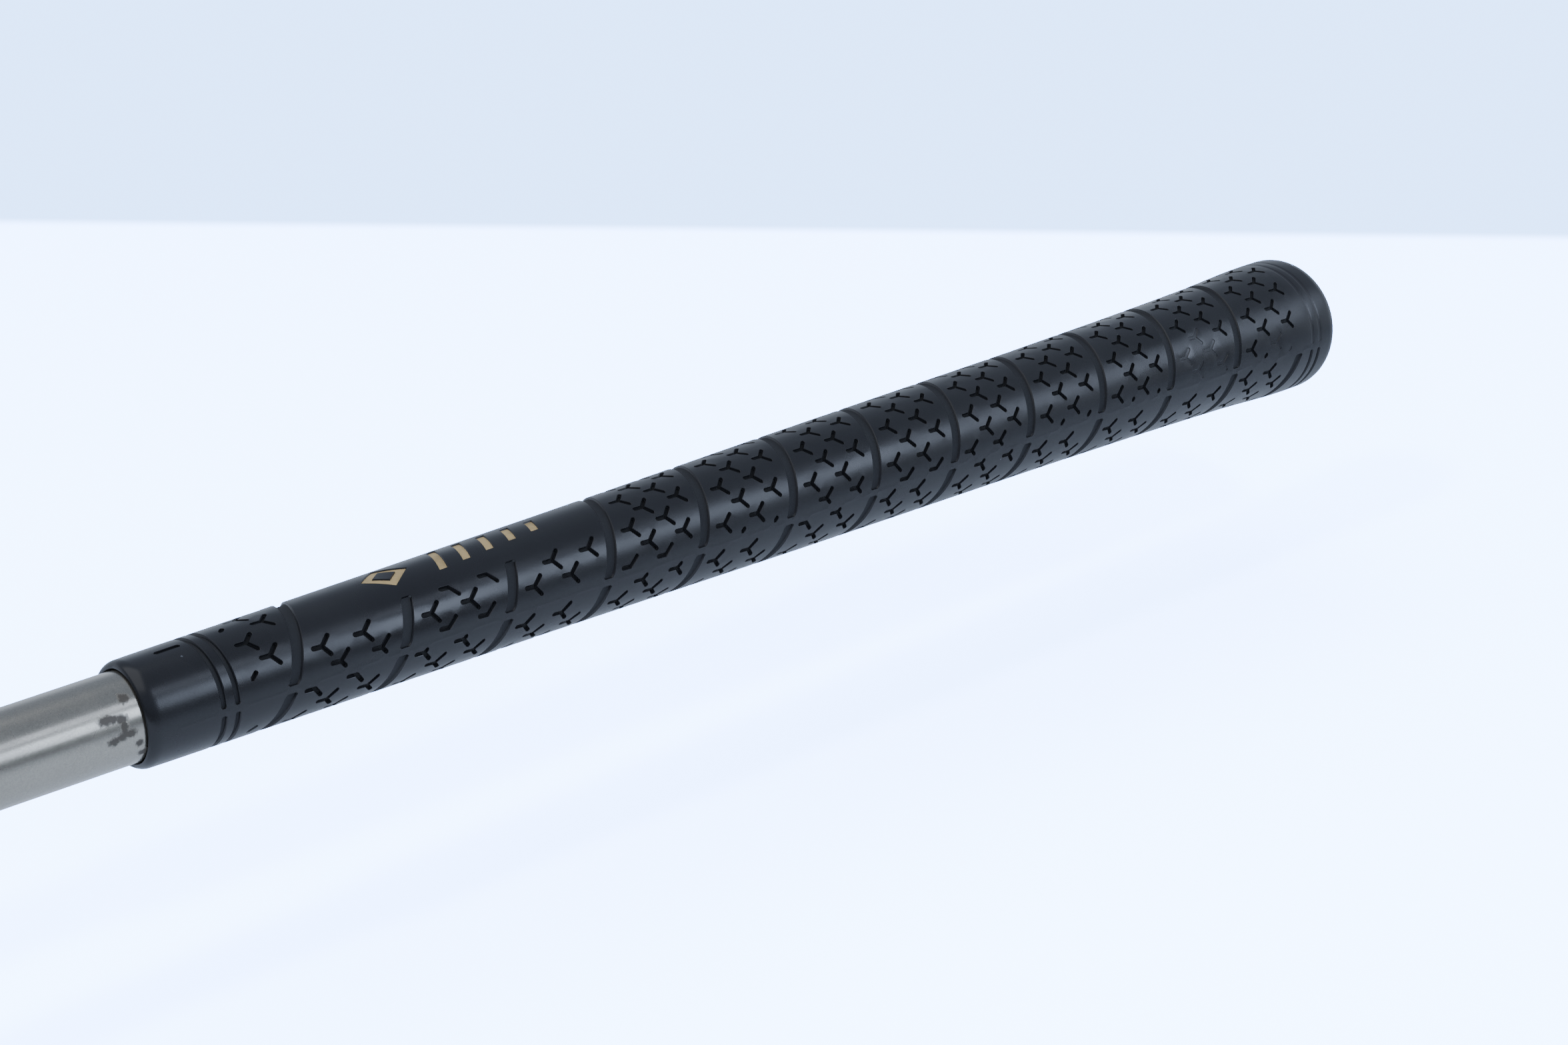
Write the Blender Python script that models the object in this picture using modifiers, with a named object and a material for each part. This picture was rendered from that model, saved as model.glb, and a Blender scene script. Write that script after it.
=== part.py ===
"""Swing trainer stick: a rubber golf grip on a tapered shaft, with a weighted head.

The stick lies along X with its butt at +X and its nose at -X. Its axis runs AXIS_Z above the
ground, so that the butt cap and the bumper's flat both rest on Z = 0.
"""
import math

import bmesh
import bpy

MM = 0.001
GAP = 0.3 * MM  # clearance that touching pieces keep

# ---- driving dimensions ----
AXIS_Z = 12.8 * MM  # height of the stick's axis: the butt cap's radius
BUTT_X = 330.0 * MM
GRIP_LENGTH = 272.0 * MM
MOUTH_X = BUTT_X - GRIP_LENGTH

SHAFT_R_MOUTH = 6.35 * MM  # shaft radius where it enters the grip
TAPER_IN_GRIP = 2.86 / 1000.0  # radius gained per metre of length, towards the butt
TAPER_OUTSIDE = 4.4 / 1000.0  # radius lost per metre of length, towards the tip
SHAFT_WALL = 0.9 * MM
SHAFT_TIP = 286.0 * MM  # distances below are measured from the grip's mouth to the head
SHAFT_END_IN_GRIP = 262.0 * MM

TAPE_START = 24.0 * MM  # from the mouth, into the grip
TAPE_THICKNESS = 0.25 * MM
VENT_R = 1.3 * MM

FERRULE = (240.0 * MM, 255.0 * MM)
TRIM_RING = (255.3 * MM, 258.0 * MM)
ADAPTER = (258.3 * MM, 308.0 * MM)
SOCKET_DEPTH = 28.0 * MM
SPINDLE = (290.3 * MM, 382.0 * MM)
SPINDLE_R = 4.0 * MM
BUMPER = (308.3 * MM, 314.3 * MM)
WEIGHT_LENGTH = 16.0 * MM
WEIGHT_STARTS = (314.6 * MM, 332.8 * MM, 351.0 * MM)
WEIGHT_R = 12.3 * MM
WEIGHT_BORE_R = 4.4 * MM
O_RING_MAJOR_R = 8.6 * MM
O_RING_MINOR_R = 0.8 * MM
WAVE_WASHER = (367.3 * MM, 368.9 * MM)
FLAT_WASHER = (369.2 * MM, 370.4 * MM)
KNOB = (370.7 * MM, 386.8 * MM)
NOSE = 388.0 * MM
KNOB_R = 12.2 * MM
INSERT_R = 6.5 * MM

TURN_STEPS = 32
SMALL_TURN_STEPS = 20

# ---- outer radius of the grip: (distance from the mouth, radius) ----
GRIP_OUTLINE = (
    (0.0, 7.35), (0.45, 7.62), (1.0, 7.72), (3.3, 7.78), (11.0, 7.87),
    (11.1, 7.43), (12.0, 7.43), (12.1, 7.88), (13.4, 7.89), (13.5, 7.43), (14.4, 7.43), (14.5, 7.90),
    (22.0, 8.03), (50.0, 8.42), (78.0, 8.82), (96.7, 9.15), (124.7, 9.69), (152.7, 10.12),
    (190.1, 10.64), (218.1, 11.20), (236.8, 11.72), (245.6, 12.00), (252.6, 12.38),
    (258.6, 12.70), (262.6, 12.80), (267.6, 12.78),
)
BUTT_ROUND_R = 4.4  # radius of the butt cap's rounded edge, in mm


def reset_scene():
    for item in list(bpy.data.objects):
        bpy.data.objects.remove(item, do_unlink=True)


def make_collection(name):
    collection = bpy.data.collections.new(name)
    bpy.context.scene.collection.children.link(collection)
    return collection


def make_material(name, color, roughness, metallic):
    material = bpy.data.materials.new(name)
    material.use_nodes = True
    shader = material.node_tree.nodes["Principled BSDF"]
    shader.inputs["Base Color"].default_value = (*color, 1.0)
    shader.inputs["Roughness"].default_value = roughness
    shader.inputs["Metallic"].default_value = metallic
    return material


def head_x(distance):
    """World X of a point this far from the grip's mouth towards the head."""
    return MOUTH_X - distance


def grip_x(distance):
    """World X of a point this far from the grip's mouth towards the butt."""
    return MOUTH_X + distance


def shaft_radius(x):
    """Outer radius of the shaft at world X."""
    past_mouth = x - MOUTH_X
    taper = TAPER_IN_GRIP if past_mouth > 0 else TAPER_OUTSIDE
    return SHAFT_R_MOUTH + taper * past_mouth


def add_object(name, mesh, material, collection):
    item = bpy.data.objects.new(name, mesh)
    mesh.materials.clear()
    mesh.materials.append(material)
    collection.objects.link(item)
    return item


def turned(name, profile, material, collection, closed=True, steps=TURN_STEPS):
    """Turn a profile of (world X, radius) points about the stick's axis.

    The points run along the outer side from the butt end to the head end and, on a closed
    profile, back along the bore.
    """
    mesh = bpy.data.meshes.new(name)
    points = [(radius, 0.0, x) for x, radius in profile]
    edges = [(i, i + 1) for i in range(len(points) - 1)]
    if closed:
        edges.append((len(points) - 1, 0))
    mesh.from_pydata(points, edges, [])
    item = add_object(name, mesh, material, collection)
    item.location = (0.0, 0.0, AXIS_Z)
    item.rotation_euler = (0.0, math.pi / 2, 0.0)
    screw = item.modifiers.new("Turn", "SCREW")
    screw.axis = "Z"
    screw.steps = steps
    screw.render_steps = steps
    screw.use_merge_vertices = True
    screw.merge_threshold = 0.00002
    screw.use_smooth_shade = True
    return item


def make_cutter(name, mesh, cutters):
    cutter = bpy.data.objects.new(name, mesh)
    cutters.objects.link(cutter)
    cutter.hide_render = True
    cutter.display_type = "WIRE"
    return cutter


def cut(item, cutter):
    boolean = item.modifiers.new("Cut " + cutter.name, "BOOLEAN")
    boolean.operation = "DIFFERENCE"
    boolean.solver = "EXACT"
    boolean.object = cutter


def rod_mesh(name, radius, start, end, sides=SMALL_TURN_STEPS):
    """A mesh of one closed rod from the point start to the point end."""
    mesh = bpy.data.meshes.new(name)
    shape = bmesh.new()
    add_rod(shape, radius, start, end, sides)
    shape.to_mesh(mesh)
    shape.free()
    return mesh


def add_rod(shape, radius, start, end, sides):
    """Add a closed rod to a bmesh. It runs along X, Y or Z."""
    span = [b - a for a, b in zip(start, end)]
    length = math.sqrt(sum(value * value for value in span))
    made = bmesh.ops.create_cone(
        shape, cap_ends=True, segments=sides, radius1=radius, radius2=radius, depth=length)
    axis = max(range(3), key=lambda index: abs(span[index]))
    middle = [(a + b) / 2 for a, b in zip(start, end)]
    for vertex in made["verts"]:
        x, y, z = vertex.co
        turned_point = ((z, y, -x), (x, z, -y), (x, y, z))[axis]
        vertex.co = [value + centre for value, centre in zip(turned_point, middle)]


# ---- grip and shaft ----
def make_grip(material, parts):
    outer = [(grip_x(u * MM), radius * MM) for u, radius in GRIP_OUTLINE]
    cap_radius = GRIP_OUTLINE[-1][1] * MM
    corner = BUTT_ROUND_R * MM
    for step in range(1, 7):
        angle = math.radians(15.0 * step)
        outer.append((BUTT_X - corner + corner * math.sin(angle),
                      cap_radius - corner + corner * math.cos(angle)))
    outer.append((BUTT_X, VENT_R))
    outer.reverse()
    shaft_room = grip_x(SHAFT_END_IN_GRIP) + 0.6 * MM
    bore_clear = GAP + TAPE_THICKNESS + 0.2 * MM
    tape_step = grip_x(TAPE_START - 0.5 * MM)
    bore = [
        (grip_x(1.2 * MM), shaft_radius(grip_x(1.2 * MM)) + 0.15 * MM),
        (tape_step, shaft_radius(tape_step) + 0.15 * MM),
        (tape_step, shaft_radius(tape_step) + bore_clear),
        (shaft_room, shaft_radius(shaft_room) + bore_clear),
        (shaft_room, VENT_R),
    ]
    return turned("grip_sleeve", outer + bore, material, parts)


def make_grip_tape(material, parts):
    start = grip_x(TAPE_START)
    end = grip_x(SHAFT_END_IN_GRIP)
    inner = 0.22 * MM
    outer = inner + TAPE_THICKNESS
    profile = [
        (end, shaft_radius(end) + outer),
        (start, shaft_radius(start) + outer),
        (start, shaft_radius(start) + inner),
        (end, shaft_radius(end) + inner),
    ]
    return turned("grip_tape", profile, material, parts)


def make_shaft(material, parts):
    end = grip_x(SHAFT_END_IN_GRIP)
    tip = head_x(SHAFT_TIP)
    ease = 0.4 * MM
    profile = [
        (end, shaft_radius(end) - ease),
        (end - ease, shaft_radius(end)),
        (MOUTH_X, SHAFT_R_MOUTH),
        (tip + ease, shaft_radius(tip)),
        (tip, shaft_radius(tip) - ease),
        (tip, shaft_radius(tip) - SHAFT_WALL),
        (MOUTH_X, SHAFT_R_MOUTH - SHAFT_WALL),
        (end, shaft_radius(end) - SHAFT_WALL),
    ]
    return turned("shaft_tube", profile, material, parts)


def make_shaft_plug(material, parts):
    start = head_x(262.0 * MM)
    end = head_x(284.0 * MM)
    radius = shaft_radius(end) - SHAFT_WALL - GAP
    ease = 0.8 * MM
    vent = 0.8 * MM
    profile = [
        (start, vent), (start, radius - ease), (start - ease, radius),
        (end + ease, radius), (end, radius - ease), (end, vent),
    ]
    return turned("shaft_plug", profile, material, parts, steps=SMALL_TURN_STEPS)


# ---- head ----
def make_ferrule(material, parts):
    top, bottom = (head_x(value) for value in FERRULE)
    length = top - bottom
    lip_r = shaft_radius(top) + 0.75 * MM
    end_r = 8.9 * MM
    profile = []
    for step in range(9):
        part = step / 8
        swell = math.sin(part * math.pi / 2)
        profile.append((top - length * part, lip_r + (end_r - lip_r) * swell))
    profile.append((bottom, shaft_radius(bottom) + GAP))
    profile.append((top, shaft_radius(top) + GAP))
    return turned("ferrule", profile, material, parts)


def make_trim_ring(material, parts):
    top, bottom = (head_x(value) for value in TRIM_RING)
    outer = 9.2 * MM
    ease = 0.4 * MM
    profile = [
        (top, outer - ease), (top - ease, outer), (bottom + ease, outer), (bottom, outer - ease),
        (bottom, shaft_radius(bottom) + GAP), (top, shaft_radius(top) + GAP),
    ]
    return turned("trim_ring", profile, material, parts)


LOCK_SCREW_X = head_x(266.5 * MM)
LOCK_SCREW_R = 1.5 * MM
ADAPTER_NECK_R = 9.2 * MM


def make_adapter(material, parts, cutters):
    top, bottom = (head_x(value) for value in ADAPTER)
    socket_end = top - SOCKET_DEPTH
    socket_r = shaft_radius(top) + GAP
    socket_end_r = shaft_radius(socket_end) + GAP
    body_r = 12.2 * MM
    ease = 0.6 * MM
    hole_r = SPINDLE_R + GAP
    profile = [
        (top, ADAPTER_NECK_R - 0.3 * MM),
        (top - 0.3 * MM, ADAPTER_NECK_R),
        (top - 14.0 * MM, ADAPTER_NECK_R),
    ]
    flare_start = top - 14.0 * MM
    flare_length = 12.0 * MM
    for step in range(1, 9):
        part = step / 8
        rise = (1 - math.cos(part * math.pi)) / 2
        profile.append((flare_start - flare_length * part,
                        ADAPTER_NECK_R + (body_r - ADAPTER_NECK_R) * rise))
    groove = head_x(300.5 * MM)
    profile += [
        (groove + 1.2 * MM, body_r), (groove + 0.6 * MM, body_r - 0.6 * MM),
        (groove - 0.6 * MM, body_r - 0.6 * MM), (groove - 1.2 * MM, body_r),
        (bottom + ease, body_r), (bottom, body_r - ease), (bottom, hole_r),
        (head_x(SPINDLE[0]) + GAP, hole_r), (head_x(SPINDLE[0]) + GAP, 1.0 * MM),
        (socket_end, 1.0 * MM), (socket_end, socket_end_r), (top, socket_r),
    ]
    adapter = turned("adapter", profile, material, parts)
    mesh = bpy.data.meshes.new("cut_adapter")
    shape = bmesh.new()
    reach = 12.0 * MM
    for side in (-1, 1):
        start = (LOCK_SCREW_X, side * (socket_r - 0.7 * MM), AXIS_Z)
        end = (LOCK_SCREW_X, side * reach, AXIS_Z)
        add_rod(shape, LOCK_SCREW_R + GAP, start, end, SMALL_TURN_STEPS)
    for side in (-1, 1):
        add_box(shape, (head_x(292.5 * MM), 0.0, AXIS_Z + side * (11.2 * MM + 2.0 * MM)),
                (8.0 * MM, 26.0 * MM, 4.0 * MM))
    shape.to_mesh(mesh)
    shape.free()
    cut(adapter, make_cutter("adapter_cutter", mesh, cutters))
    return adapter


def add_box(shape, centre, size):
    made = bmesh.ops.create_cube(shape, size=1.0)
    for vertex in made["verts"]:
        vertex.co = [c + v * s for c, v, s in zip(centre, vertex.co, size)]


def make_lock_screw(name, side, material, parts, cutters):
    inner = shaft_radius(LOCK_SCREW_X) + GAP
    outer = ADAPTER_NECK_R - 0.4 * MM
    start = (LOCK_SCREW_X, side * inner, AXIS_Z)
    end = (LOCK_SCREW_X, side * outer, AXIS_Z)
    screw = add_object(name, rod_mesh(name, LOCK_SCREW_R, start, end), material, parts)
    socket_start = (LOCK_SCREW_X, side * (outer - 1.3 * MM), AXIS_Z)
    socket_end = (LOCK_SCREW_X, side * (outer + 1.0 * MM), AXIS_Z)
    hexagon = rod_mesh("cut_" + name, 0.87 * MM, socket_start, socket_end, sides=6)
    cut(screw, make_cutter(name + "_cutter", hexagon, cutters))
    return screw


def make_spindle(material, parts):
    top, bottom = (head_x(value) for value in SPINDLE)
    ease = 0.7 * MM
    profile = [
        (top, 0.0), (top, SPINDLE_R - ease), (top - ease, SPINDLE_R),
        (bottom + ease, SPINDLE_R), (bottom, SPINDLE_R - ease), (bottom, 0.0),
    ]
    return turned("spindle", profile, material, parts, closed=False, steps=SMALL_TURN_STEPS)


def make_bumper_ring(material, parts, cutters):
    """Octagonal rubber ring: its flats stop the stick from rolling."""
    top, bottom = (head_x(value) for value in BUMPER)
    corner_r = AXIS_Z / math.cos(math.pi / 8)
    mesh = bpy.data.meshes.new("bumper_ring")
    shape = bmesh.new()
    add_rod(shape, corner_r, (bottom, 0.0, 0.0), (top, 0.0, 0.0), 8)
    eighth = math.pi / 8
    for vertex in shape.verts:
        y, z = vertex.co.y, vertex.co.z
        vertex.co.y = y * math.cos(eighth) - z * math.sin(eighth)
        vertex.co.z = y * math.sin(eighth) + z * math.cos(eighth) + AXIS_Z
    shape.to_mesh(mesh)
    shape.free()
    bumper = add_object("bumper_ring", mesh, material, parts)
    bevel = bumper.modifiers.new("Edges", "BEVEL")
    bevel.width = 1.2 * MM
    bevel.segments = 3
    bevel.limit_method = "ANGLE"
    bevel.angle_limit = math.radians(30)
    start = (bottom - 2 * MM, 0.0, AXIS_Z)
    end = (top + 2 * MM, 0.0, AXIS_Z)
    bore = rod_mesh("cut_bumper", SPINDLE_R + GAP, start, end)
    cut(bumper, make_cutter("bumper_cutter", bore, cutters))
    return bumper


def make_weight(name, start, material, parts):
    top = head_x(start)
    bottom = top - WEIGHT_LENGTH
    chamfer = 0.9 * MM
    middle = (top + bottom) / 2
    half_groove = 2.6 * MM
    groove_depth = 0.7 * MM
    profile = [
        (top, WEIGHT_BORE_R + 0.4 * MM), (top, WEIGHT_R - chamfer), (top - chamfer, WEIGHT_R),
        (middle + half_groove, WEIGHT_R), (middle + half_groove - 0.4 * MM, WEIGHT_R - groove_depth),
        (middle - half_groove + 0.4 * MM, WEIGHT_R - groove_depth), (middle - half_groove, WEIGHT_R),
        (bottom + chamfer, WEIGHT_R), (bottom, WEIGHT_R - chamfer), (bottom, WEIGHT_BORE_R + 0.4 * MM),
        (bottom + 0.4 * MM, WEIGHT_BORE_R), (top - 0.4 * MM, WEIGHT_BORE_R),
    ]
    return turned(name, profile, material, parts)


def make_o_ring(name, gap_start, gap_end, material, parts):
    centre = (head_x(gap_start) + head_x(gap_end)) / 2
    sides = 10
    profile = []
    for step in range(sides):
        angle = 2 * math.pi * step / sides
        profile.append((centre - O_RING_MINOR_R * math.sin(angle),
                        O_RING_MAJOR_R + O_RING_MINOR_R * math.cos(angle)))
    return turned(name, profile, material, parts, steps=SMALL_TURN_STEPS)


def make_wave_washer(material, parts):
    """A dished spring washer that keeps the weights from rattling."""
    top, bottom = (head_x(value) for value in WAVE_WASHER)
    sheet = 0.6 * MM
    outer = 8.5 * MM
    inner = SPINDLE_R + 0.4 * MM
    profile = [
        (top, outer), (top - sheet, outer), (bottom, inner), (bottom + sheet, inner),
    ]
    return turned("wave_washer", profile, material, parts, steps=SMALL_TURN_STEPS)


def make_flat_washer(material, parts):
    top, bottom = (head_x(value) for value in FLAT_WASHER)
    outer = 9.5 * MM
    inner = SPINDLE_R + 0.4 * MM
    ease = 0.25 * MM
    profile = [
        (top, outer - ease), (top - ease, outer), (bottom + ease, outer), (bottom, outer - ease),
        (bottom, inner), (top, inner),
    ]
    return turned("flat_washer", profile, material, parts, steps=SMALL_TURN_STEPS)


KNOB_FLUTES = 12
NOSE_POCKET_DEPTH = 3.0 * MM
NOSE_PAD_R = 8.6 * MM


def make_end_knob(material, parts, cutters):
    top, bottom = (head_x(value) for value in KNOB)
    pocket_floor = bottom + NOSE_POCKET_DEPTH
    ease = 0.7 * MM
    round_r = 2.2 * MM
    profile = [
        (top, INSERT_R + GAP), (top, KNOB_R - ease), (top - ease, KNOB_R), (bottom + round_r, KNOB_R),
    ]
    for step in range(1, 5):
        angle = math.radians(22.5 * step)
        profile.append((bottom + round_r - round_r * math.sin(angle),
                        KNOB_R - round_r + round_r * math.cos(angle)))
    profile += [
        (bottom, NOSE_PAD_R + GAP), (pocket_floor, NOSE_PAD_R + GAP), (pocket_floor, 1.0 * MM),
        (pocket_floor + 1.5 * MM, 1.0 * MM), (pocket_floor + 1.5 * MM, INSERT_R + GAP),
    ]
    knob = turned("end_knob", profile, material, parts)
    mesh = bpy.data.meshes.new("cut_knob")
    shape = bmesh.new()
    flute_r = 1.6 * MM
    flute_centre = KNOB_R + 0.75 * MM
    for index in range(KNOB_FLUTES):
        angle = 2 * math.pi * (index + 0.5) / KNOB_FLUTES
        y = flute_centre * math.cos(angle)
        z = AXIS_Z + flute_centre * math.sin(angle)
        add_rod(shape, flute_r, (bottom - 3 * MM, y, z), (top - 2.2 * MM, y, z), 8)
    shape.to_mesh(mesh)
    shape.free()
    cut(knob, make_cutter("knob_cutter", mesh, cutters))
    return knob


def make_knob_insert(material, parts):
    top = head_x(KNOB[0]) - GAP
    bottom = head_x(KNOB[1]) + NOSE_POCKET_DEPTH + 1.5 * MM + GAP
    inner = SPINDLE_R + 0.15 * MM
    groove = (top + bottom) / 2
    profile = [
        (top, inner), (top, INSERT_R), (groove + 1.0 * MM, INSERT_R), (groove + 0.6 * MM, INSERT_R - 0.5 * MM),
        (groove - 0.6 * MM, INSERT_R - 0.5 * MM), (groove - 1.0 * MM, INSERT_R), (bottom, INSERT_R),
        (bottom, inner),
    ]
    return turned("knob_insert", profile, material, parts, steps=SMALL_TURN_STEPS)


def make_nose_pad(material, parts):
    top = head_x(KNOB[1]) + NOSE_POCKET_DEPTH - GAP
    bottom = head_x(NOSE)
    ease = 1.0 * MM
    profile = [
        (top, 0.0), (top, NOSE_PAD_R), (bottom + ease, NOSE_PAD_R),
        (bottom + 0.3 * MM, NOSE_PAD_R - 0.3 * MM), (bottom, NOSE_PAD_R - ease), (bottom, 0.0),
    ]
    return turned("nose_pad", profile, material, parts, closed=False, steps=SMALL_TURN_STEPS)


def main():
    reset_scene()
    parts = make_collection("swing_trainer_stick")
    cutters = make_collection("cutters")

    rubber = make_material("grip_rubber", (0.035, 0.036, 0.040), 0.55, 0.0)
    paint = make_material("champagne_paint", (0.62, 0.57, 0.50), 0.28, 0.7)
    tape = make_material("tape_paper", (0.78, 0.76, 0.70), 0.80, 0.0)
    cork = make_material("plug_cork", (0.55, 0.40, 0.25), 0.85, 0.0)
    gloss = make_material("ferrule_black", (0.02, 0.02, 0.02), 0.15, 0.0)
    dark_metal = make_material("adapter_dark", (0.16, 0.16, 0.17), 0.35, 1.0)
    steel = make_material("weight_steel", (0.62, 0.62, 0.63), 0.30, 1.0)
    bright = make_material("washer_steel", (0.70, 0.70, 0.72), 0.25, 1.0)
    bumper = make_material("bumper_rubber", (0.03, 0.03, 0.03), 0.65, 0.0)
    brass = make_material("insert_brass", (0.72, 0.55, 0.28), 0.30, 1.0)

    make_grip(rubber, parts)
    make_grip_tape(tape, parts)
    make_shaft(paint, parts)
    make_shaft_plug(cork, parts)
    make_ferrule(gloss, parts)
    make_trim_ring(bright, parts)
    make_adapter(dark_metal, parts, cutters)
    make_lock_screw("lock_screw_left", -1, bright, parts, cutters)
    make_lock_screw("lock_screw_right", 1, bright, parts, cutters)
    make_spindle(bright, parts)
    make_bumper_ring(bumper, parts, cutters)
    for index, start in enumerate(WEIGHT_STARTS, 1):
        make_weight(f"weight_{index}", start, steel, parts)
    for index in range(2):
        gap_start = WEIGHT_STARTS[index] + WEIGHT_LENGTH
        make_o_ring(f"o_ring_{index + 1}", gap_start, WEIGHT_STARTS[index + 1], bumper, parts)
    make_wave_washer(bright, parts)
    make_flat_washer(bright, parts)
    make_end_knob(dark_metal, parts, cutters)
    make_knob_insert(brass, parts)
    make_nose_pad(bumper, parts)


main()
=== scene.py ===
import math

import bmesh
import bpy
import numpy as np
from bpy.props import FloatProperty, FloatVectorProperty, IntProperty, PointerProperty
from mathutils import Matrix, Vector
from mathutils.geometry import delaunay_2d_cdt


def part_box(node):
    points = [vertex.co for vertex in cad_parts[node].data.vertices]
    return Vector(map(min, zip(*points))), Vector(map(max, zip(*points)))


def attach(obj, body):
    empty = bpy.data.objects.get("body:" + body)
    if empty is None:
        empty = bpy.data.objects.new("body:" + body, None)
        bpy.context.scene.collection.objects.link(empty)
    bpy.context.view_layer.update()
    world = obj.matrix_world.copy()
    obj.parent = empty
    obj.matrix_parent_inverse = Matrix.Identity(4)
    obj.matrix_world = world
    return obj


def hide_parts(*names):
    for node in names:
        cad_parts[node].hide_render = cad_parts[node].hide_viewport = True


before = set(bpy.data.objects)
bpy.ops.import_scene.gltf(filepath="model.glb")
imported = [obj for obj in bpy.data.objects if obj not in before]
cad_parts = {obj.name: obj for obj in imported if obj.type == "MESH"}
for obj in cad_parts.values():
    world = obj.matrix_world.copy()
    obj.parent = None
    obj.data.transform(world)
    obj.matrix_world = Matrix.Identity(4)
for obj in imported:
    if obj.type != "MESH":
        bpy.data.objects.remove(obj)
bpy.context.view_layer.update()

bl_info = {
    "name": "Swing Trainer Stick",
    "version": (1, 0, 0),
    "blender": (4, 5, 0),
    "location": "3D View > Sidebar > Swing Stick",
    "description": "Builds the finished grip, shaft and weighted head of a golf swing trainer stick",
    "category": "Add Mesh",
}

MM = 0.001
GRIP_LOW, GRIP_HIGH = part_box("grip_sleeve")
MOUTH_X = GRIP_LOW[0]
BUTT_X = GRIP_HIGH[0]
AXIS_Z = (GRIP_LOW[2] + GRIP_HIGH[2]) / 2
GRIP_LENGTH = (BUTT_X - MOUTH_X) / MM

# Grip sizes are in millimetres from the mouth, and grip angles in degrees from the middle of the
# smooth panel, growing down the side that faces -Y. The mould parts at +90 and -90 degrees.
GRIP_RADII = (
    (0.0, 7.72), (3.3, 7.80), (22.0, 8.03), (50.0, 8.42), (78.0, 8.82), (96.7, 9.15), (124.7, 9.69),
    (152.7, 10.12), (190.1, 10.64), (218.1, 11.20), (236.8, 11.72), (245.6, 12.00), (252.6, 12.38),
    (258.6, 12.70), (263.6, 12.80), (272.0, 12.80),
)
GRIP_ROLL = 3.5
LIP_END = 1.9
LIP_FRONT = 0.65
LIP_ROUND = 0.95
LIP_STRETCH = 0.95
LIP_STRETCH_SIDE = math.radians(75.0)
BUTT_ROUND = 4.4
BODY_END = GRIP_LENGTH - BUTT_ROUND
SPIRAL_PITCH = 19.61
SPIRAL_START = 8.37
FIRST_TURN = 1
LAST_TURN = 13
PANEL_HALF_ANGLE = 36.5
PANEL_TURNS = (2, 3)
SEAM_CLEAR = 0.55
RING_PLACES = (11.55, 13.85)
CAP_RING_PLACES = (262.3, 264.6)
TREAD_START = 16.4
TREAD_END = 262.0
TREAD_COLUMNS = ((4.2, 11.5), (7.8, 15.05))
# for each turn of the spiral: the angle of one row of the first column pair, the row step, and how
# far the rows past the mould seam are moved
TREAD_ROWS = (
    (70.5, 21.3, 0.0), (57.5, 20.0, 0.0), (61.4, 19.3, -1.0), (69.2, 18.9, 0.0), (45.5, 17.9, 0.6),
    (71.5, 18.3, -2.0), (61.0, 18.2, 0.0), (68.5, 18.0, -2.0), (47.0, 17.0, 0.0), (72.0, 17.1, -1.0),
    (76.0, 16.5, -2.0), (62.6, 15.4, -0.5), (75.0, 15.0, -3.0),
)
TREAD_ARMS = ((-40.0, 2.05), (51.0, 1.80), (183.0, 1.50))
SHORTEST_ARM = 0.3
GROOVE_SECTION = ((0.0, 0.0), (0.06, 0.06), (0.19, 0.36), (0.50, 0.45))
RING_SECTION = ((0.0, 0.0), (0.07, 0.06), (0.17, 0.36), (0.32, 0.42))
TREAD_SECTION = ((0.0, 0.0), (0.05, 0.05), (0.15, 0.58))
MARK_SECTION = ((0.0, 0.0), (0.05, 0.05), (0.12, 0.24))
WORN_SPOTS = ((230.2, 66.0, 8.5, 8.0), (252.0, 86.0, 6.0, 4.0))
UNROLL_R = 10.0
SKIN_COLUMNS = 96
SKIN_ROW_STEP = 2.0

SHAFT_R_MOUTH = 6.54 * MM
SHAFT_TAPER_IN_GRIP = 2.16 / 1000
SHAFT_TAPER_OUT = 5.2 / 1000
SHAFT_WALL = 0.9 * MM
TURN_SEGMENTS = 96


# ---------------------------------------------------------------- settings
class GripSettings(bpy.types.PropertyGroup):
    groove_half_width: FloatProperty(
        name="Groove half width", description="Half the width of the spiral groove, in millimetres",
        default=1.04, min=0.4, max=1.4)
    ring_half_width: FloatProperty(
        name="Ring half width", description="Half the width of the ring grooves, in millimetres",
        default=0.5, min=0.2, max=0.8)
    tread_half_width: FloatProperty(
        name="Tread half width", description="Half the width of a tread mark's arm, in millimetres",
        default=0.39, min=0.2, max=0.5)
    rubber: FloatVectorProperty(
        name="Rubber", description="Colour of the clean rubber", subtype="COLOR", size=3,
        default=(0.0074, 0.0077, 0.0096), min=0.0, max=1.0)
    dust: FloatVectorProperty(
        name="Dust", description="Colour of the fine dust on the rubber", subtype="COLOR", size=3,
        default=(0.034, 0.038, 0.045), min=0.0, max=1.0)
    mark_paint: FloatVectorProperty(
        name="Mark paint", description="Colour of the paint in the alignment marks", subtype="COLOR",
        size=3, default=(0.62, 0.46, 0.22), min=0.0, max=1.0)


class ShaftSettings(bpy.types.PropertyGroup):
    paint: FloatVectorProperty(
        name="Paint", description="Colour of the champagne metallic paint", subtype="COLOR", size=3,
        default=(0.42, 0.398, 0.347), min=0.0, max=1.0)
    stain: FloatVectorProperty(
        name="Stain", description="Colour of the stains beside the grip's mouth", subtype="COLOR",
        size=3, default=(0.060, 0.052, 0.043), min=0.0, max=1.0)


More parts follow.
